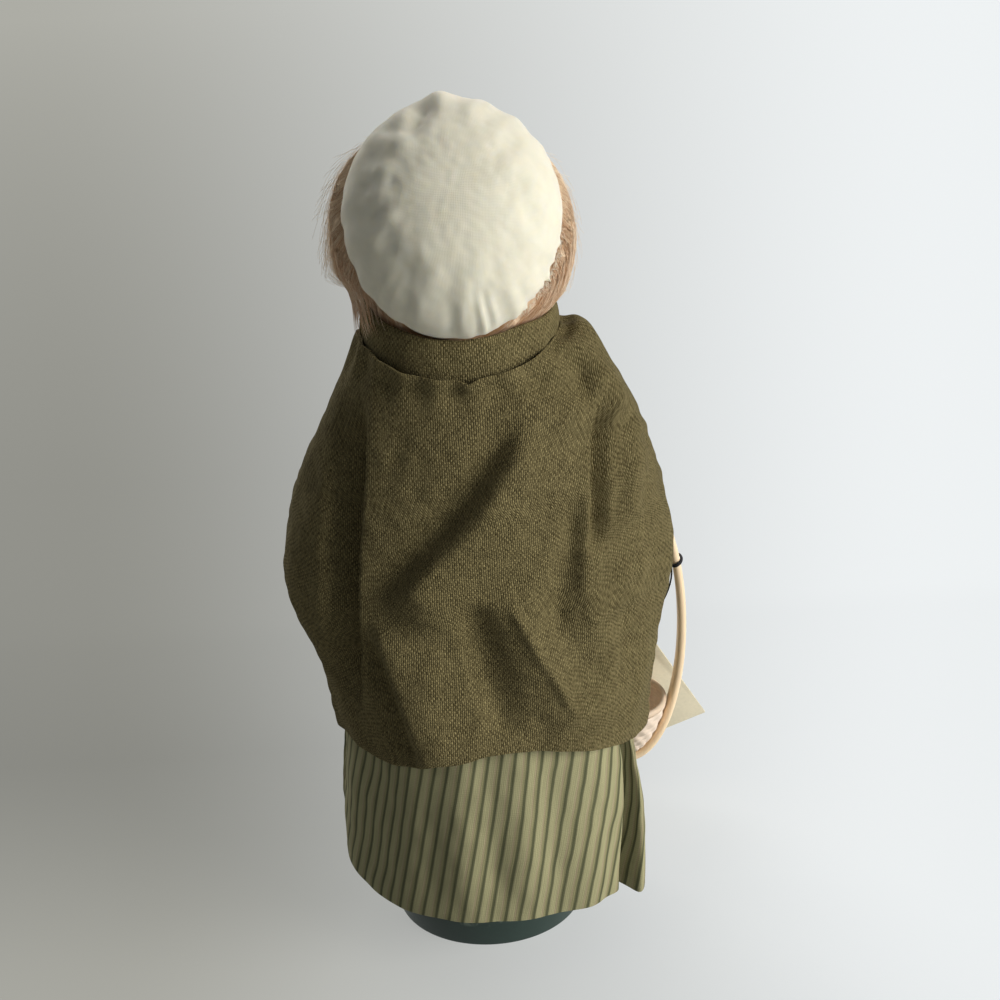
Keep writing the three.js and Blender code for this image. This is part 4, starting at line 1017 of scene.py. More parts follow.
class CAROLER_OT_skirt(bpy.types.Operator):
    """Adds the gathered, striped skirt"""

    bl_idname = "caroler.skirt"
    bl_label = "Skirt"

    def execute(self, context):
        cloth = context.scene.caroler_cloth
        # columns lie closer together at the deep pleat
        fine = np.linspace(0, 360, 3601)
        crowd = np.cumsum(1 + 3.0 * bump(fine - PLEAT, 11))
        turn = np.interp(np.linspace(0, crowd[-1], 400, endpoint=False), crowd, fine)
        degrees, t = np.meshgrid(turn, np.linspace(0, 1, 101))
        # the panel beside the pleat laps over it
        lap = 0.8 * bump(degrees - 140.5, 3.4) * t ** 1.5
        # and the pleat leans: it lies further round, higher up
        lean = np.minimum(36 * (1 - t), 17) * bump(degrees - PLEAT, 22)
        angle = np.radians(degrees + lap + lean)
        x, y = (lerp(top, hem, SKIRT_SWELL(t))
                for top, hem in zip(oval(angle, *SKIRT_TOP), oval(angle, *SKIRT_ROUND)))
        folds = [high * bump(apart(degrees, place, 360), wide) for place, wide, high in SKIRT_FOLDS]
        calm = 1 - 0.7 * ease(t, 0.8, 1.0)
        folds = sum(folds[:4]) + sum(folds[4:]) * calm
        gathers = np.sin(np.radians(degrees) * 34 + 2 * np.sin(np.radians(degrees) * 5))
        wide_mm = np.radians(degrees) * SKIRT_ROUND[0]
        rise = folds * t ** 1.6 + 1.1 * gathers * ease(t, 0, 0.06) * (1 - ease(t, 0.1, 0.45))
        slant = ripple(wide_mm * 0.8 + (1 - t) * 60, (1 - t) * 60, 38, 12)
        rise += 0.7 * slant * ease(t, 0.35, 0.6) * calm
        rise += 0.16 * ripple(wide_mm, (1 - t) * 140, 13, 13) * ease(t, 0.3, 0.6)
        grown = 1 + rise / np.hypot(x, y)
        x, y = x * grown, y * grown
        # the flap beside the pleat stands out to the back and hangs lower, and the hem is higher at the left
        y = y + 11 * bump(degrees - 154, 4.6) * t ** 1.3
        lifted = 6.0 * bump(apart(degrees, 4, 360), 24)
        z = lerp(WAIST, SKIRT_HEM, t) + (lifted + 0.3 * ripple(wide_mm, 0 * t, 70, 14)) * t ** 3
        z = z - 3.0 * bump(degrees - 153, 4.0) * t ** 6
        points = np.stack([x, y, z], -1)
        # the stripes keep their width in the flat cloth, and lean a little
        round_hem = along(np.concatenate([points[-1], points[-1, :1]]))
        fall = np.mean(along(points), axis=1)[:, None]
        flat = np.stack(np.broadcast_arrays(round_hem + STRIPE_LEAN * (fall - fall[-1]), fall), -1)
        skirt = grid_piece("skirt_ticking", points, flat, wrap=True)
        apply(skirt, "SOLIDIFY", thickness=cloth.skirt_thickness, offset=-1.0)
        shade(skirt)
        dress(skirt, "figure", "ticking", ticking(context), "skirt")
        return {"FINISHED"}


# Dents and lumps of the cap: place across and up from its pole, half-width, height
CAP_LUMPS = [
    (27, 15, 3.6, -1.5), (23, 10, 3.0, 1.2), (29, 4, 3.2, -1.3), (24, 0, 3.0, 1.1), (20, 4, 2.6, -0.9),
    (27, -6, 3.4, -1.5), (22, -8, 3.0, 1.2), (29, -14, 3.6, 0.9), (23, -17, 3.6, -1.4), (17, -13, 3.0, 0.9),
    (17, 19, 3.6, 1.1), (20, 26, 3.6, -1.1), (12, 24, 3.2, -1.0), (26, 23, 3.4, 0.9), (17, -25, 4.0, -1.4),
    (11, -22, 3.4, 1.0), (-26, -8, 4, -0.8), (-27, 6, 5, 0.8), (-22, 18, 4.5, -1.0), (-15, 15, 3.5, 0.7),
    (-14, 26, 6, -0.9), (-8, 32, 5, 0.9), (2.4, 38, 5.2, 3.8), (8, 32, 3.8, -4.0), (10, 27, 3.2, -2.4),
    (-3, 8, 12, -0.8),
]
LUMP_SHARE = 0.62


def cap_point(angle, tilt, extra):
    """A point of the cap's dome: round its rim, from the pole to the rim, moved out by extra."""
    reach = np.sin(tilt) ** CAP_ROUND
    high = np.where(np.sin(angle) > 0, CAP_ABOVE, CAP_BELOW)
    return (CAP_CENTRE + (np.cos(angle) * reach * (CAP_SIDE + extra))[..., None] * np.array((1.0, 0, 0))
            + (np.sin(angle) * reach * (high + extra))[..., None] * CAP_UP
            + (np.cos(tilt) * (CAP_DEEP + extra))[..., None] * CAP_POLE)


class CAROLER_OT_cap(bpy.types.Operator):
    """Adds the gathered cotton cap with its frayed edge"""

    bl_idname = "caroler.cap"
    bl_label = "Cap"

    def execute(self, context):
        cloth = context.scene.caroler_cloth
        angle, share = np.meshgrid(circle(240), np.linspace(0, 1, 71))
        tilt = share * math.pi / 2
        plain = cap_point(angle, tilt, 0.0)
        a, b = plain[..., 0], (plain - CAP_CENTRE) @ CAP_UP
        rise = LUMP_SHARE * sum(high * bump(np.hypot(a - x, b - y), wide) for x, y, wide, high in CAP_LUMPS)
        # gathers round the rim, the deeper ones below
        uneven = angle + 0.11 * np.sin(3 * angle + 0.6) + 0.07 * np.sin(7 * angle)
        gathers = 0.4 * np.sin(uneven * 17) + 0.3 * np.sin(uneven * 29 + 1.0)
        rise = rise + gathers * ease(share, 0.55, 1.0) ** 2 * 0.35
        near_rim = ease(share, 0.5, 0.72) * (1 - 0.75 * ease(share, 0.85, 1.0))
        below = bump(angle - math.pi * 1.53, 0.62) * near_rim
        rise += below * (0.42 * np.sin(uneven * 29 + 0.4) + 0.2 * np.sin(uneven * 43))
        rise += 0.22 * ripple(a, b, 11, 31) * ease(share, 0.1, 0.4)
        # a cut, ragged edge at the lower right
        ragged = ripple(angle * 40, 0 * a, 3.2, 33) * ease(share, 0.93, 1.0)
        rise += 1.3 * bump(angle - math.pi * 1.2, 0.32) * ragged
        rise += 0.04 * ripple(a, b, 4.5, 32)
        # the edge is turned in under the gathers
        turned = cap_point(angle[-1:], tilt[-1:], rise[-1:] - 1.2) - 1.2 * CAP_POLE
        points = np.concatenate([cap_point(angle, tilt, rise), turned])
        spread = tilt / np.maximum(np.sin(tilt) ** CAP_ROUND, 1e-6)
        flat = seam(np.stack([a, b], -1) * spread[..., None])
        flat = np.concatenate([flat, flat[-1:] * 1.04])
        cap = grid_piece("cap_cotton", points, flat, wrap=True, flip=True)
        with editing(cap):
            bpy.ops.mesh.remove_doubles(threshold=1e-6)
        apply(cap, "SOLIDIFY", thickness=cloth.cap_thickness, offset=-1.0)
        shade(cap, 60)
        cotton = light_cloth("bleached_cotton", context.scene.caroler_colours.cotton, 0.48, 0.1)
        dress(cap, "head", "cotton", cotton, "cap")

        # loose threads along the cut edge, most at its lower right
        draw = np.random.default_rng(17)
        u = np.linspace(0, 1, 6)[:, None]
        paths = []
        for _ in range(130):
            where = draw.normal(math.pi * 1.19, 0.24)
            start = cap_point(np.array([where]), np.array([math.pi / 2]), np.array([0.2]))[0]
            bend = draw.normal(0, 1, 3)
            far = draw.uniform(0.6, 1.8)
            way = 0.75 * unit(start - CAP_CENTRE) - 0.5 * CAP_POLE
            paths.append(start + far * (u * way + 0.55 * u * u * bend))
        fray = tubes("cap_fray", paths, 0.08)
        dress(fray, "head", "cotton", cotton)
        return {"FINISHED"}


HAIR_HALF = np.array((42.5, 34.4, 45.0))
HAIR_CENTRE = np.array((0, 0, HEAD - 6))
FACE_HALF = (19 / 44, 25 / 46)  # the opening round the face, as shares of the wig's width and height


def tucked(points, loose):
    """Hair kept under the cap, and inside the collar or, where it is loose, hanging over it."""
    rel = points - CAP_CENTRE
    a, b, c = rel[..., 0], rel @ CAP_UP, rel @ CAP_POLE
    high = np.where(b > 0, CAP_ABOVE, CAP_BELOW)
    full = np.hypot(a / CAP_SIDE, b / high) ** (2 / CAP_ROUND) + (np.maximum(c, 0) / CAP_DEEP) ** 2
    keep = np.sqrt(np.minimum(1, 0.86 / np.maximum(full, 1e-6)))
    keep = 1 + (keep - 1) * ease(c, -5.0, -0.5)
    x, y, z = np.moveaxis(CAP_CENTRE + rel * keep[..., None], -1, 0)
    # it clears the collar at each turn of the head; at the right, where the collar is low, it starts lower
    room = lerp(3.5, 4.4, ease(x, -26, -12))
    inside, rim = 0, 0
    for turn in (-HEAD_TURN, 0, HEAD_TURN):
        side, back = math.cos(turn) * x - math.sin(turn) * y, math.sin(turn) * x + math.cos(turn) * y
        depth = np.where(back > 0, NECK_BACK, NECK_FRONT) - room
        inside = np.maximum(inside, np.hypot(side / (NECK_SIDE - room), back / depth))
        within = np.maximum(ease(side, -26, -12), ease(-back, 5, 14))
        rim = np.maximum(rim, neck_height(back) + lerp(4.0, 14.0, within))
    squeeze = lerp(1.0, 1 / np.maximum(inside, 1), 1 - ease(z, rim + 0.5, rim + 9.0))
    outside = np.hypot(x / (NECK_SIDE + 1.0 + loose), y / (NECK_BACK + 1.8 + loose))
    hang = lerp(1.0, 1 / np.maximum(outside, 0.5), 1 - ease(z, rim - 3, rim + 12))
    squeeze = np.where(loose > 0, hang, squeeze)
    x, y = x * squeeze, y * squeeze
    z = np.where(loose > 0, z, np.maximum(z, neck_height(y) + 3.4))
    return np.stack([x, y, z], -1)


def combed(around, share, lift, loose=0.0):
    """A point of the wig: angle round from the parting, share from the face to the back, height."""
    opening = 1 / np.hypot(np.sin(around) / FACE_HALF[0], np.cos(around) / FACE_HALF[1])
    depth = lerp(-np.sqrt(1 - np.minimum(opening, 1) ** 2), 1.0, share)
    ring = np.sqrt(np.maximum(1 - depth ** 2, 0))
    way = np.stack([ring * np.sin(around), depth, ring * np.cos(around)], -1)
    lift = lift + 2.2 * bump(around - 1.0, 0.4)  # fuller at the upper left
    return tucked(HAIR_CENTRE + way * (HAIR_HALF + lift[..., None]), loose)


class CAROLER_OT_hair(bpy.types.Operator):
    """Adds the combed wig with its strands and wisps"""

    bl_idname = "caroler.hair"
    bl_label = "Hair"

    def execute(self, context):
        head = context.scene.caroler_head
        around, share = np.meshgrid(circle(240), np.linspace(0, 1, 141))
        lock = ripple(share * 90 + 3 * np.sin(around * 2), around * 4, 6.5, 41)
        fine = ripple(share * 90 + 1.5 * np.sin(around * 3), around * 3, 2.2, 42)
        parting = -1.6 * bump(apart(around, 0, TURN), 0.05) * (1 - ease(share, 0.5, 0.8))
        lift = head.comb_depth / MM * (0.8 * lock + 0.35 * fine) - 0.8 + parting
        points = combed(around, share, lift)
        # painted shade: the wig is darker low down, towards the collar
        tone = 0.42 + 0.12 * lock + 0.08 * fine - 0.4 * (1 - ease(points[..., 2], 250, 275))
        # the edge round the face turns in towards the skin
        roll = [HAIR_CENTRE + (points[0] - HAIR_CENTRE) * near + (0, deep, 0)
                for near, deep in ((0.80, 6.5), (0.86, 3.0), (0.93, 0.6))]
        wig = grid_piece("hair_wig", np.concatenate([np.stack(roll), points]), wrap=True, flip=True)
        set_tone(wig, np.concatenate([np.full((len(roll), tone.shape[1]), 0.3), tone]))
        clean(wig, 75)
        fibre = mohair(context)
        dress(wig, "head", "mohair", fibre, "hair")

        draw = np.random.default_rng(23)
        count = head.strands
        side = np.where(draw.random(count) < 0.5, 1, -1)
        start = draw.uniform(0.03, 1.6, count)
        end = np.minimum(start + draw.uniform(0.6, 1.6, count), 2.8)
        depth = draw.beta(1.3, 1.5, count)[:, None] * 0.86 + 0.01
        # at the back left some lie over the edge of the collar, and end at different heights
        behind = draw.random(count) < 0.8 * bump(depth[:, 0] - 0.72, 0.1)
        loose = np.where((side > 0) & (end > 1.9) & behind, draw.uniform(0.1, 1.0, count), 0.0)
        fall = np.clip((draw.uniform(249, 258, count) - HAIR_CENTRE[2]) / HAIR_HALF[2] / 0.9, -1, 1)
        end = np.where(loose > 0, np.minimum(end, np.arccos(fall)), end)
        width = head.strand_width / MM / 2 * np.array((0.35, 0.8, 1, 1, 1, 1, 0.9, 0.7, 0.25))
        u = np.linspace(0, 1, len(width))[None, :]
        turn = lerp(start[:, None], end[:, None], u)
        sway = 0.02 * np.sin(u * 5 + draw.uniform(0, 6, (count, 1)))
        depth = depth + sway * draw.uniform(0, 1, (count, 1))
        lift = draw.uniform(-0.5, 0.7, (count, 1)) + 0.35 * np.sin(u * math.pi)
        paths = combed(side[:, None] * turn, np.clip(depth, 0.0, 0.97), lift, loose[:, None])
        # painted shade: strands that end low, on the collar, are darker
        low = 0.5 * (1 - ease(paths[:, -1, 2], 250, 280))  # darker where the hair lies on the collar
        strands = tubes("hair_strands", paths, width[None, :], tone=draw.uniform(0.25, 0.85, count) - low)
        dress(strands, "head", "mohair", fibre)

        count = head.wisps
        side = np.where(draw.random(count) < 0.7, 1, -1)[:, None]
        start = draw.uniform(0.5, 2.0, count)
        turn = start[:, None] + draw.uniform(0.2, 0.7, (count, 1)) * u
        depth = draw.uniform(0.15, 0.6, (count, 1)) + draw.uniform(-0.06, 0.06, (count, 1)) * u
        far = np.where(side > 0, 7.0, 3.6) * draw.uniform(0.15, 1.0, (count, 1)) ** 1.6
        sway = 0.5 * np.sin(u * 11 + draw.uniform(0, 6, (count, 1)))
        lift = 0.4 + far * u ** 1.3 + sway * draw.uniform(0.2, 1, (count, 1))
        paths = combed(side * turn, depth, lift)
        wisps = tubes("hair_wisps", paths, 0.04, tone=draw.uniform(0.6, 1.0, count))
        dress(wisps, "head", "mohair", fibre)
        return {"FINISHED"}


class CAROLER_OT_head(bpy.types.Operator):
    """Adds the clay head with its neck and a plain doll's face"""

    bl_idname = "caroler.head"
    bl_label = "Head"

    def execute(self, context):
        def at(x, y, z):
            return x, y, HEAD + z

        cheeks = [(at(side * 10.5, -19.4, -9.4), (8.6, 7.2, 8.2), 0) for side in (1, -1)]
        forms = [
            (at(0, 0, 0), (25, 27, 32), 0), (at(0, -16.2, -23.6), (9.2, 9, 8.2), 0), *cheeks,
            (at(0, -26.0, -5.6), (2.7, 4.6, 3.4), 0), (at(0, -26.4, 0.2), (1.9, 2.4, 6.4), -12),
            (at(0, 0, -34), (9.8, 9.8, 19.0), 0), (at(0, 0, -49), (10.7, 10.7, 5.0), 0),
            (at(0, -24.6, -14.0), (4.2, 2.4, 1.3), 0), (at(0, -24.2, -16.5), (3.6, 2.4, 1.4), 0),
        ]
        head = moulded("head_clay", forms, 0.55, 6)
        for side in (1, -1):  # eye sockets, eyeballs and the sides of the nose
            push(head, at(side * 8.6, -25, 2.6), 6.0, (0, 1.3, 0))
            push(head, at(side * 8.6, -25, 2.2), 3.4, (0, -0.7, 0))
            push(head, at(side * 2.2, -28, -7.0), 1.8, (side * 0.35, -0.3, 0))
        push(head, at(0, -27, -15.2), 1.4, (0, 0.5, 0))  # between the lips
        dress(head, "head", "clay", painted_clay(context), "head")
        return {"FINISHED"}


# Each arm: its name, side, the elbow's distance from the middle, and its forearm's turn in and up
ARMS = (("left", 1, 58.0, math.radians(32), math.radians(9)), ("right", -1, 62.0, 0.0, 0.0))
ARM_ROOT, ARM_TOP, FOREARM_LENGTH = 25.4, 34.0, 68


def arm_points(side, elbow_out, inward, lift):
    """The middle of a sleeve from the bodice to the cuff, and the way that its forearm points."""
    ahead = np.array((
        -side * math.sin(inward) * math.cos(lift), -math.cos(inward) * math.cos(lift), math.sin(lift)))
    root, top = (np.array((side * x, 0, SHOULDER)) for x in (ARM_ROOT, ARM_TOP))
    elbow = np.array((side * elbow_out, 6.0, FOREARM))
    cuff = elbow + FOREARM_LENGTH * ahead

    def bend(before, corner, after, trim):
        """A rounded corner that begins and ends at a distance from it."""
        u = np.linspace(0, 1, 30)[:, None]
        a, c = (corner + unit(other - corner) * trim for other in (before, after))
        return (1 - u) ** 2 * a + 2 * u * (1 - u) * corner + u * u * c

    rough = np.vstack([root, bend(root, top, elbow, 6), bend(top, elbow, cuff, 15), cuff])
    run = along(rough)
    stops = np.linspace(0, run[-1], 121)
    return np.stack([np.interp(stops, run, rough[:, i]) for i in range(3)], -1), stops, elbow, ahead, cuff


class CAROLER_OT_arms(bpy.types.Operator):
    """Adds the padded sleeves and the felt mittens"""

    bl_idname = "caroler.arms"
    bl_label = "Sleeves and Mittens"

    def execute(self, context):
        tones = context.scene.caroler_colours
        # Pressed wool felt: very matt, with matted fibres in every direction
        felt = speckled(
            "pressed_felt", tones.felt, 0.9, 0.25, 0.3, roughness=0.95, specular=0.15, sheen_weight=0.2)
        for name, side, out, inward, lift in ARMS:
            middle, stops, elbow, ahead, cuff = arm_points(side, out, inward, lift)
            way = unit(np.gradient(middle, axis=0))
            normal, frames = np.array((0, 1.0, 0)), []
            for step in way:
                normal = unit(normal - normal @ step * step)
                frames.append(normal)
            frames = np.array(frames)[:, None]
            other = np.cross(way, frames[:, 0])[:, None]
            reach = (middle - elbow) @ ahead
            # round at the shoulder, full above the elbow and narrower to the cuff
            radius = lerp(11.6, 11.0, ease(middle[:, 2], FOREARM, SHOULDER))
            short = np.clip(1 - (np.abs(middle[:, 0]) - ARM_ROOT) / 11.0, 0, 1)
            radius = radius * lerp(0.5, 1.0, np.sqrt(1 - short ** 2))
            radius = lerp(radius, 8.2, ease(reach, 11.6, 49.0))
            turn = circle(72)
            # creases inside the elbow, soft rings elsewhere; the cuff is folded in
            bent = bump(stops - stops[np.argmin(np.abs(reach))], 16)[:, None]
            inner = np.cos(turn) * -0.5 + 0.5
            crease = -1.3 * bent * inner * (0.5 + 0.5 * np.cos(stops[:, None] * 1.15))
            loose = 0.42 * ripple(stops[:, None], turn[None, :] * 9, 13, 50 + side) - 0.35
            calm = ease(reach, 50.0, 62.0)[:, None]
            grown = radius[:, None] + (crease + loose) * (1 - calm)
            ring = np.cos(turn)[:, None] * frames + np.sin(turn)[:, None] * other
            lips = [cuff - back * ahead + r * ring[-1]
                    for r, back in ((7.2, 0.0), (6.6, 1.0), (6.4, 3.0), (1.7, 3.0))]
            points = np.concatenate([
                (middle[0] + 1.7 * ring[0])[None], middle[:, None] + grown[..., None] * ring, np.stack(lips)])
            flat = np.stack([np.broadcast_to(turn * 10, points.shape[:2]), along(points)], -1)
            sleeve = grid_piece(f"{name}_sleeve_wool", points, seam(flat, 10 * TURN), wrap=True)
            clean(sleeve, 60)
            dress(sleeve, "figure", "wool", bpy.data.materials["plain_weave_wool"], f"{name}_sleeve")

            hand = moulded(f"{name}_mitten_felt", [
                ((0, -2.5, 0), (4.8, 3.2, 6.9), 0), ((0, -9, 0), (5.4, 9.5, 7.9), 0),
                ((0, -16, 0), (4.9, 9.0, 7.3), 0), ((-side * 1.5, -10.4, 7.6), (2.6, 6.4, 2.8), 35)], 0.4, 4)
            turned = Vector((0, -1, 0)).rotation_difference(Vector(ahead)).to_matrix().to_4x4()
            hand.data.transform(Matrix.Translation(Vector((cuff + 0.3 * ahead) * MM)) @ turned)
            dress(hand, "figure", "felt", felt, f"{name}_mitten")
        return {"FINISHED"}


# Half-sizes of the wound body by height
BODY_WIDTH = smooth([(110.9, 21), (WAIST, 17.5), (CHEST, 23), (SHOULDER, 23), (BODY_TOP, 12.5)])
BODY_DEPTH = smooth([(110.9, 15), (WAIST, 13.5), (CHEST, 17.5), (SHOULDER, 16), (BODY_TOP, 11)])


class CAROLER_OT_bodice(bpy.types.Operator):
    """Adds the bodice on the wound body"""

    bl_idname = "caroler.bodice"
    bl_label = "Bodice"

    def execute(self, context):
        cloth = context.scene.caroler_cloth
        angle, z = np.meshgrid(circle(160), np.linspace(BODY_TOP + 1.2, WAIST - 6, 91))
        tight = ease(z, WAIST + 2, WAIST + 10)
        out = 1.6 + 0.3 * ripple(angle * 20, (z - WAIST) * 0.5, 14, 61) * tight
        x, y = (BODY_WIDTH(z) + out) * np.cos(angle), (BODY_DEPTH(z) + out) * np.sin(angle)
        points = np.stack([x, y, z], -1)
        flat = seam(np.stack([angle * 21, along(points)], -1), 21 * TURN)
        bodice = grid_piece("bodice_muslin", points, flat, wrap=True)
        apply(bodice, "SOLIDIFY", thickness=cloth.bodice_thickness, offset=-1.0)
        shade(bodice)
        muslin = light_cloth("unbleached_muslin", context.scene.caroler_colours.bodice, 0.7, 0.12)
        dress(bodice, "figure", "bodice_cloth", muslin, "bodice")
        return {"FINISHED"}


class CAROLER_OT_boots(bpy.types.Operator):
    """Adds the felt boots"""

    bl_idname = "caroler.boots"
    bl_label = "Boots"

    def execute(self, context):
        sole = BASE_TOP + 0.3
        for name, x in (("left", 12.0), ("right", -12.0)):
            boot = moulded(f"{name}_boot_felt", [
                ((x, 2, sole + 5.5), (5.3, 7.2, 6.4), 0), ((x, -7, sole + 5), (5.7, 9.5, 5.8), 0),
                ((x, -13, sole + 3.8), (5.3, 7.8, 4.4), 0), ((x, 0, sole + 13), (5.4, 6.6, 8.4), 0),
                ((x, 0, sole + 18.6), (6.2, 6.9, 3.2), 0)], 0.45, 4)
            with editing(boot):
                bpy.ops.mesh.bisect(
                    plane_co=(0, 0, sole * MM), plane_no=(0, 0, 1), clear_inner=True, use_fill=True)
            clean(boot, 45)
            dress(boot, "figure", "felt", bpy.data.materials["pressed_felt"], f"{name}_boot")
        return {"FINISHED"}


class CAROLER_OT_base(bpy.types.Operator):
    """Adds the turned and painted base"""

    bl_idname = "caroler.base"
    bl_label = "Base"

    def execute(self, context):
        bpy.ops.object.select_all(action="DESELECT")
        bpy.ops.mesh.primitive_cylinder_add(
            vertices=144, radius=BASE_RADIUS * MM, depth=BASE_TOP * MM, location=(0, 0, BASE_TOP / 2 * MM))
        settle()
        base = named("base_turned")
        for height, width, segments in ((0, 0.8, 2), (BASE_TOP, 2.5, 7)):
            places = [vertex.co for vertex in base.data.vertices]
            outer = {i for i, p in enumerate(places) if abs(p.z - height * MM) < 1e-6
                     and math.hypot(p.x, p.y) > (BASE_RADIUS - 0.1) * MM}
            pick(base, "edges", [edge.index for edge in base.data.edges if outer.issuperset(edge.vertices)])
            with editing(base, None):
                bpy.ops.mesh.bevel(offset=width * MM, segments=segments, profile=0.5)
        clean(base, 30)
        dress(base, "figure", "base_paint", painted_wood(context), "base")
        return {"FINISHED"}


# The bowl from its lowest point to its edge, from the hoop's centre, and half its depth to the front
BOWL_LOW, BOWL_HIGH, BOWL_DEEP = -ROOM_TALL + 0.4, -ROOM_TALL + 24.4, 19
RIM_RADIUS, RIM_DEEP = 1.2, 17.8


def bowl_reach(z):
    """Half the width of the bowl inside the hoop, at a height from the hoop's centre."""
    return ROOM_WIDE * np.sqrt(np.maximum(0, 1 - (z / ROOM_TALL) ** 2)) - 0.6


class CAROLER_OT_basket(bpy.types.Operator):
    """Adds the cane hoop, the woven bowl and the cane rim"""

    bl_idname = "caroler.basket"
    bl_label = "Basket"

    def execute(self, context):
        tones, sizes = context.scene.caroler_colours, context.scene.caroler_basket
        # Split cane: pale, satin, with long straight fibres
        cane = speckled("split_cane", tones.cane, 0.7, 0.08, 0.10, (1, 1, 0.05), roughness=0.5, specular=0.45)
        bpy.ops.object.select_all(action="DESELECT")
        bpy.ops.curve.primitive_bezier_circle_add(radius=1)
        hoop = context.active_object
        hoop.name = "basket_hoop"
        curve = hoop.data
        curve.dimensions, curve.fill_mode = "3D", "FULL"
        curve.resolution_u, curve.bevel_resolution = 32, 4
        hoop.scale = (HOOP_WIDE * MM, HOOP_TALL * MM, MM)
        bpy.ops.object.transform_apply(location=False, rotation=False, scale=True)
        for point in curve.splines[0].bezier_points:
            point.radius = 1  # the scale had thinned it
        curve.bevel_depth = sizes.cane_thickness / 2
        curve.extrude = (sizes.cane_width - sizes.cane_thickness) / 2
        hoop.rotation_euler = (math.pi / 2, 0, 0)
        hoop.location = HOOP * MM
        bpy.ops.object.convert(target="MESH")
        settle()
        clean(hoop, 50)
        dress(hoop, "basket", "cane", cane, "basket_handle")

        reach = bowl_reach(BOWL_HIGH)
        around, share = np.meshgrid(circle(sizes.stakes * 10), np.linspace(0, 1, 91))
        z = lerp(BOWL_LOW, BOWL_HIGH, share ** 1.7)
        out = np.where(share > 0, bowl_reach(z), 0)
        girth = along(np.stack([out[:, 0], z[:, 0]], -1))[:, None]
        # each row of splint goes over one stake and under the next
        row = girth / girth[-1] * sizes.weavers
        weave = np.abs(np.sin(math.pi * row)) ** 0.6
        over = np.sin(around * sizes.stakes / 2 + math.pi * np.floor(row)) * ease(share, 0.12, 0.3)
        relief = -0.75 + 0.3 * weave + 0.34 * over * weave
        out = np.maximum(out + relief * ease(share, 0.02, 0.2), 0)
        points = HOOP + np.stack([out * np.cos(around), out * np.sin(around) * BOWL_DEEP / reach, z], -1)
        flat = np.stack([around * reach, np.broadcast_to(girth, around.shape)], -1)
        bowl = grid_piece("basket_weave", points, seam(flat, TURN * reach), wrap=True, flip=True)
        clean(bowl, 60)
        apply(bowl, "SOLIDIFY", thickness=0.9 * MM, offset=-1.0)
        shade(bowl, 60)
        # Shaved wood splint: pale brown, satin, streaked along its length
        splint = speckled(
            "shaved_splint", tones.splint, 0.8, 0.08, 0.16, (0.25, 0.25, 1.4), roughness=0.55, specular=0.4)
        dress(bowl, "basket", "splint", splint, "basket_bowl")

        bpy.ops.object.select_all(action="DESELECT")
        bpy.ops.mesh.primitive_torus_add(
            major_segments=96, minor_segments=16, major_radius=(reach - RIM_RADIUS) * MM,
            minor_radius=RIM_RADIUS * MM, location=(HOOP + (0, 0, BOWL_HIGH + 1.8)) * MM)
        rim = named("basket_rim_cane")
        rim.scale = (1, RIM_DEEP / (reach - RIM_RADIUS), 1.25)
        settle()
        clean(rim, 60)
        # Stained cane: as the hoop, browner
        stained = speckled(
            "stained_cane", tones.rim, 0.7, 0.08, 0.12, (0.2, 0.2, 1), roughness=0.5, specular=0.45)
        dress(rim, "basket", "cane", stained, "basket_rim")
        return {"FINISHED"}


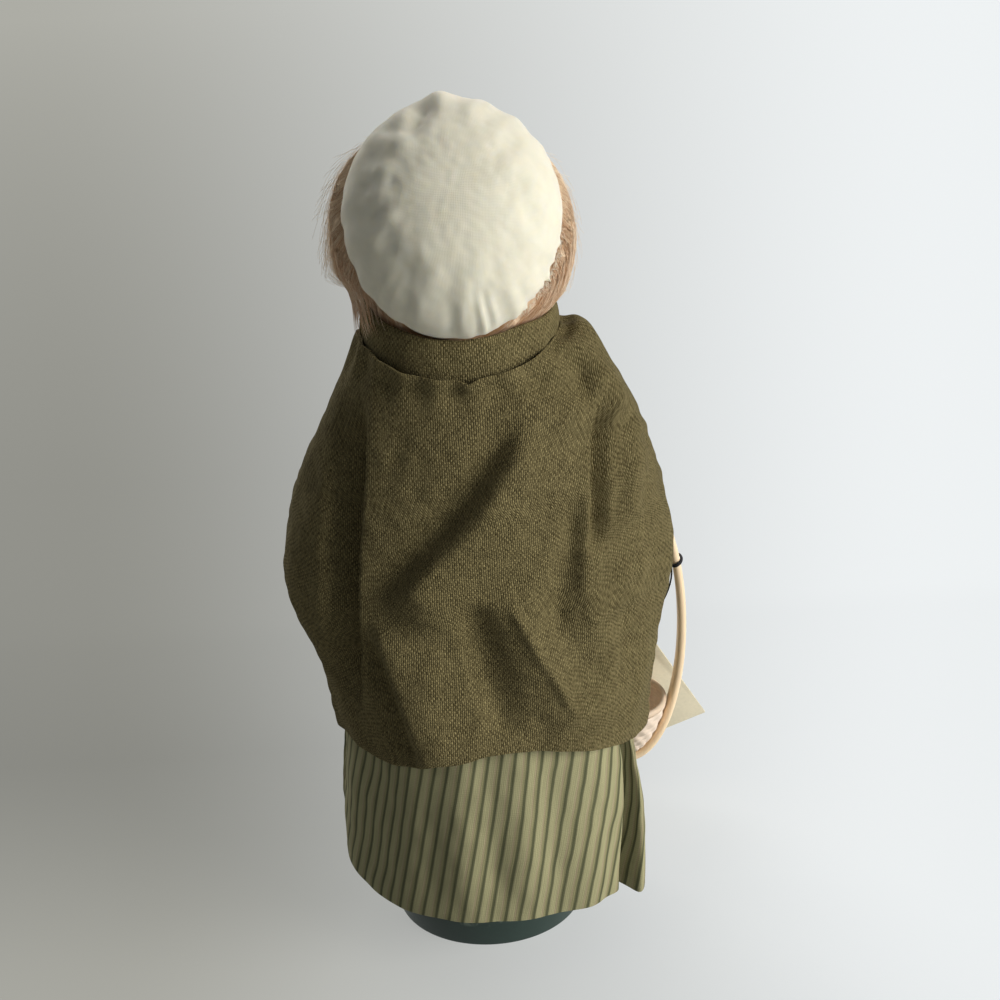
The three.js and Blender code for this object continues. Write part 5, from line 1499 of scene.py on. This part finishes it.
class CAROLER_OT_armature(bpy.types.Operator):
    """Gives the wires and the wound paper under the clothes their materials"""

    bl_idname = "caroler.armature"
    bl_label = "Armature"

    def execute(self, context):
        # Drawn steel wire: bright, with a very fine grain
        steel = speckled("drawn_steel_wire", linear("#8f9296"), 0.4, 0.02, 0.08, metallic=1.0, roughness=0.4)
        # Wound kraft paper: matt, fibrous, in flat turns
        paper = speckled(
            "wound_paper", linear("#c2b596"), 1.4, 0.2, 0.12, (0.4, 0.4, 2.0), roughness=0.9, specular=0.2)
        for name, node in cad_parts.items():
            wire = name.endswith("_wire")
            if wire or name in ("left_leg", "right_leg", "body_core"):
                for slot in node.material_slots:
                    slot.material = steel if wire else paper
        return {"FINISHED"}


STEPS = (
    CAROLER_OT_stage, CAROLER_OT_tag, CAROLER_OT_cape, CAROLER_OT_collar, CAROLER_OT_skirt,
    CAROLER_OT_cap, CAROLER_OT_hair, CAROLER_OT_head, CAROLER_OT_arms, CAROLER_OT_bodice,
    CAROLER_OT_boots, CAROLER_OT_base, CAROLER_OT_basket, CAROLER_OT_armature,
)
GROUPS = {
    "caroler_stage": CarolerStage, "caroler_cloth": CarolerCloth, "caroler_head": CarolerHead,
    "caroler_basket": CarolerBasket, "caroler_colours": CarolerColours,
}


class CAROLER_PT_panel(bpy.types.Panel):
    """Lists the steps and the settings"""

    bl_idname = "CAROLER_PT_panel"
    bl_label = "Caroler Figure"
    bl_space_type = "VIEW_3D"
    bl_region_type = "UI"
    bl_category = "Caroler"

    def draw(self, context):
        for step in STEPS:
            self.layout.operator(step.bl_idname)
        for name, group in GROUPS.items():
            box = self.layout.box()
            for setting in group.__annotations__:
                box.prop(getattr(context.scene, name), setting)


def register():
    for kind in (*GROUPS.values(), *STEPS, CAROLER_PT_panel):
        bpy.utils.register_class(kind)
    for name, group in GROUPS.items():
        setattr(bpy.types.Scene, name, PointerProperty(type=group))


def unregister():
    for name in GROUPS:
        delattr(bpy.types.Scene, name)
    for kind in reversed((*GROUPS.values(), *STEPS, CAROLER_PT_panel)):
        bpy.utils.unregister_class(kind)


def main():
    register()
    bpy.ops.caroler.stage()
    bpy.ops.caroler.tag()
    bpy.ops.caroler.cape()
    bpy.ops.caroler.collar()
    bpy.ops.caroler.skirt()
    bpy.ops.caroler.cap()
    bpy.ops.caroler.hair()
    bpy.ops.caroler.head()
    bpy.ops.caroler.arms()
    bpy.ops.caroler.bodice()
    bpy.ops.caroler.boots()
    bpy.ops.caroler.base()
    bpy.ops.caroler.basket()
    bpy.ops.caroler.armature()


if __name__ == "__main__":
    main()
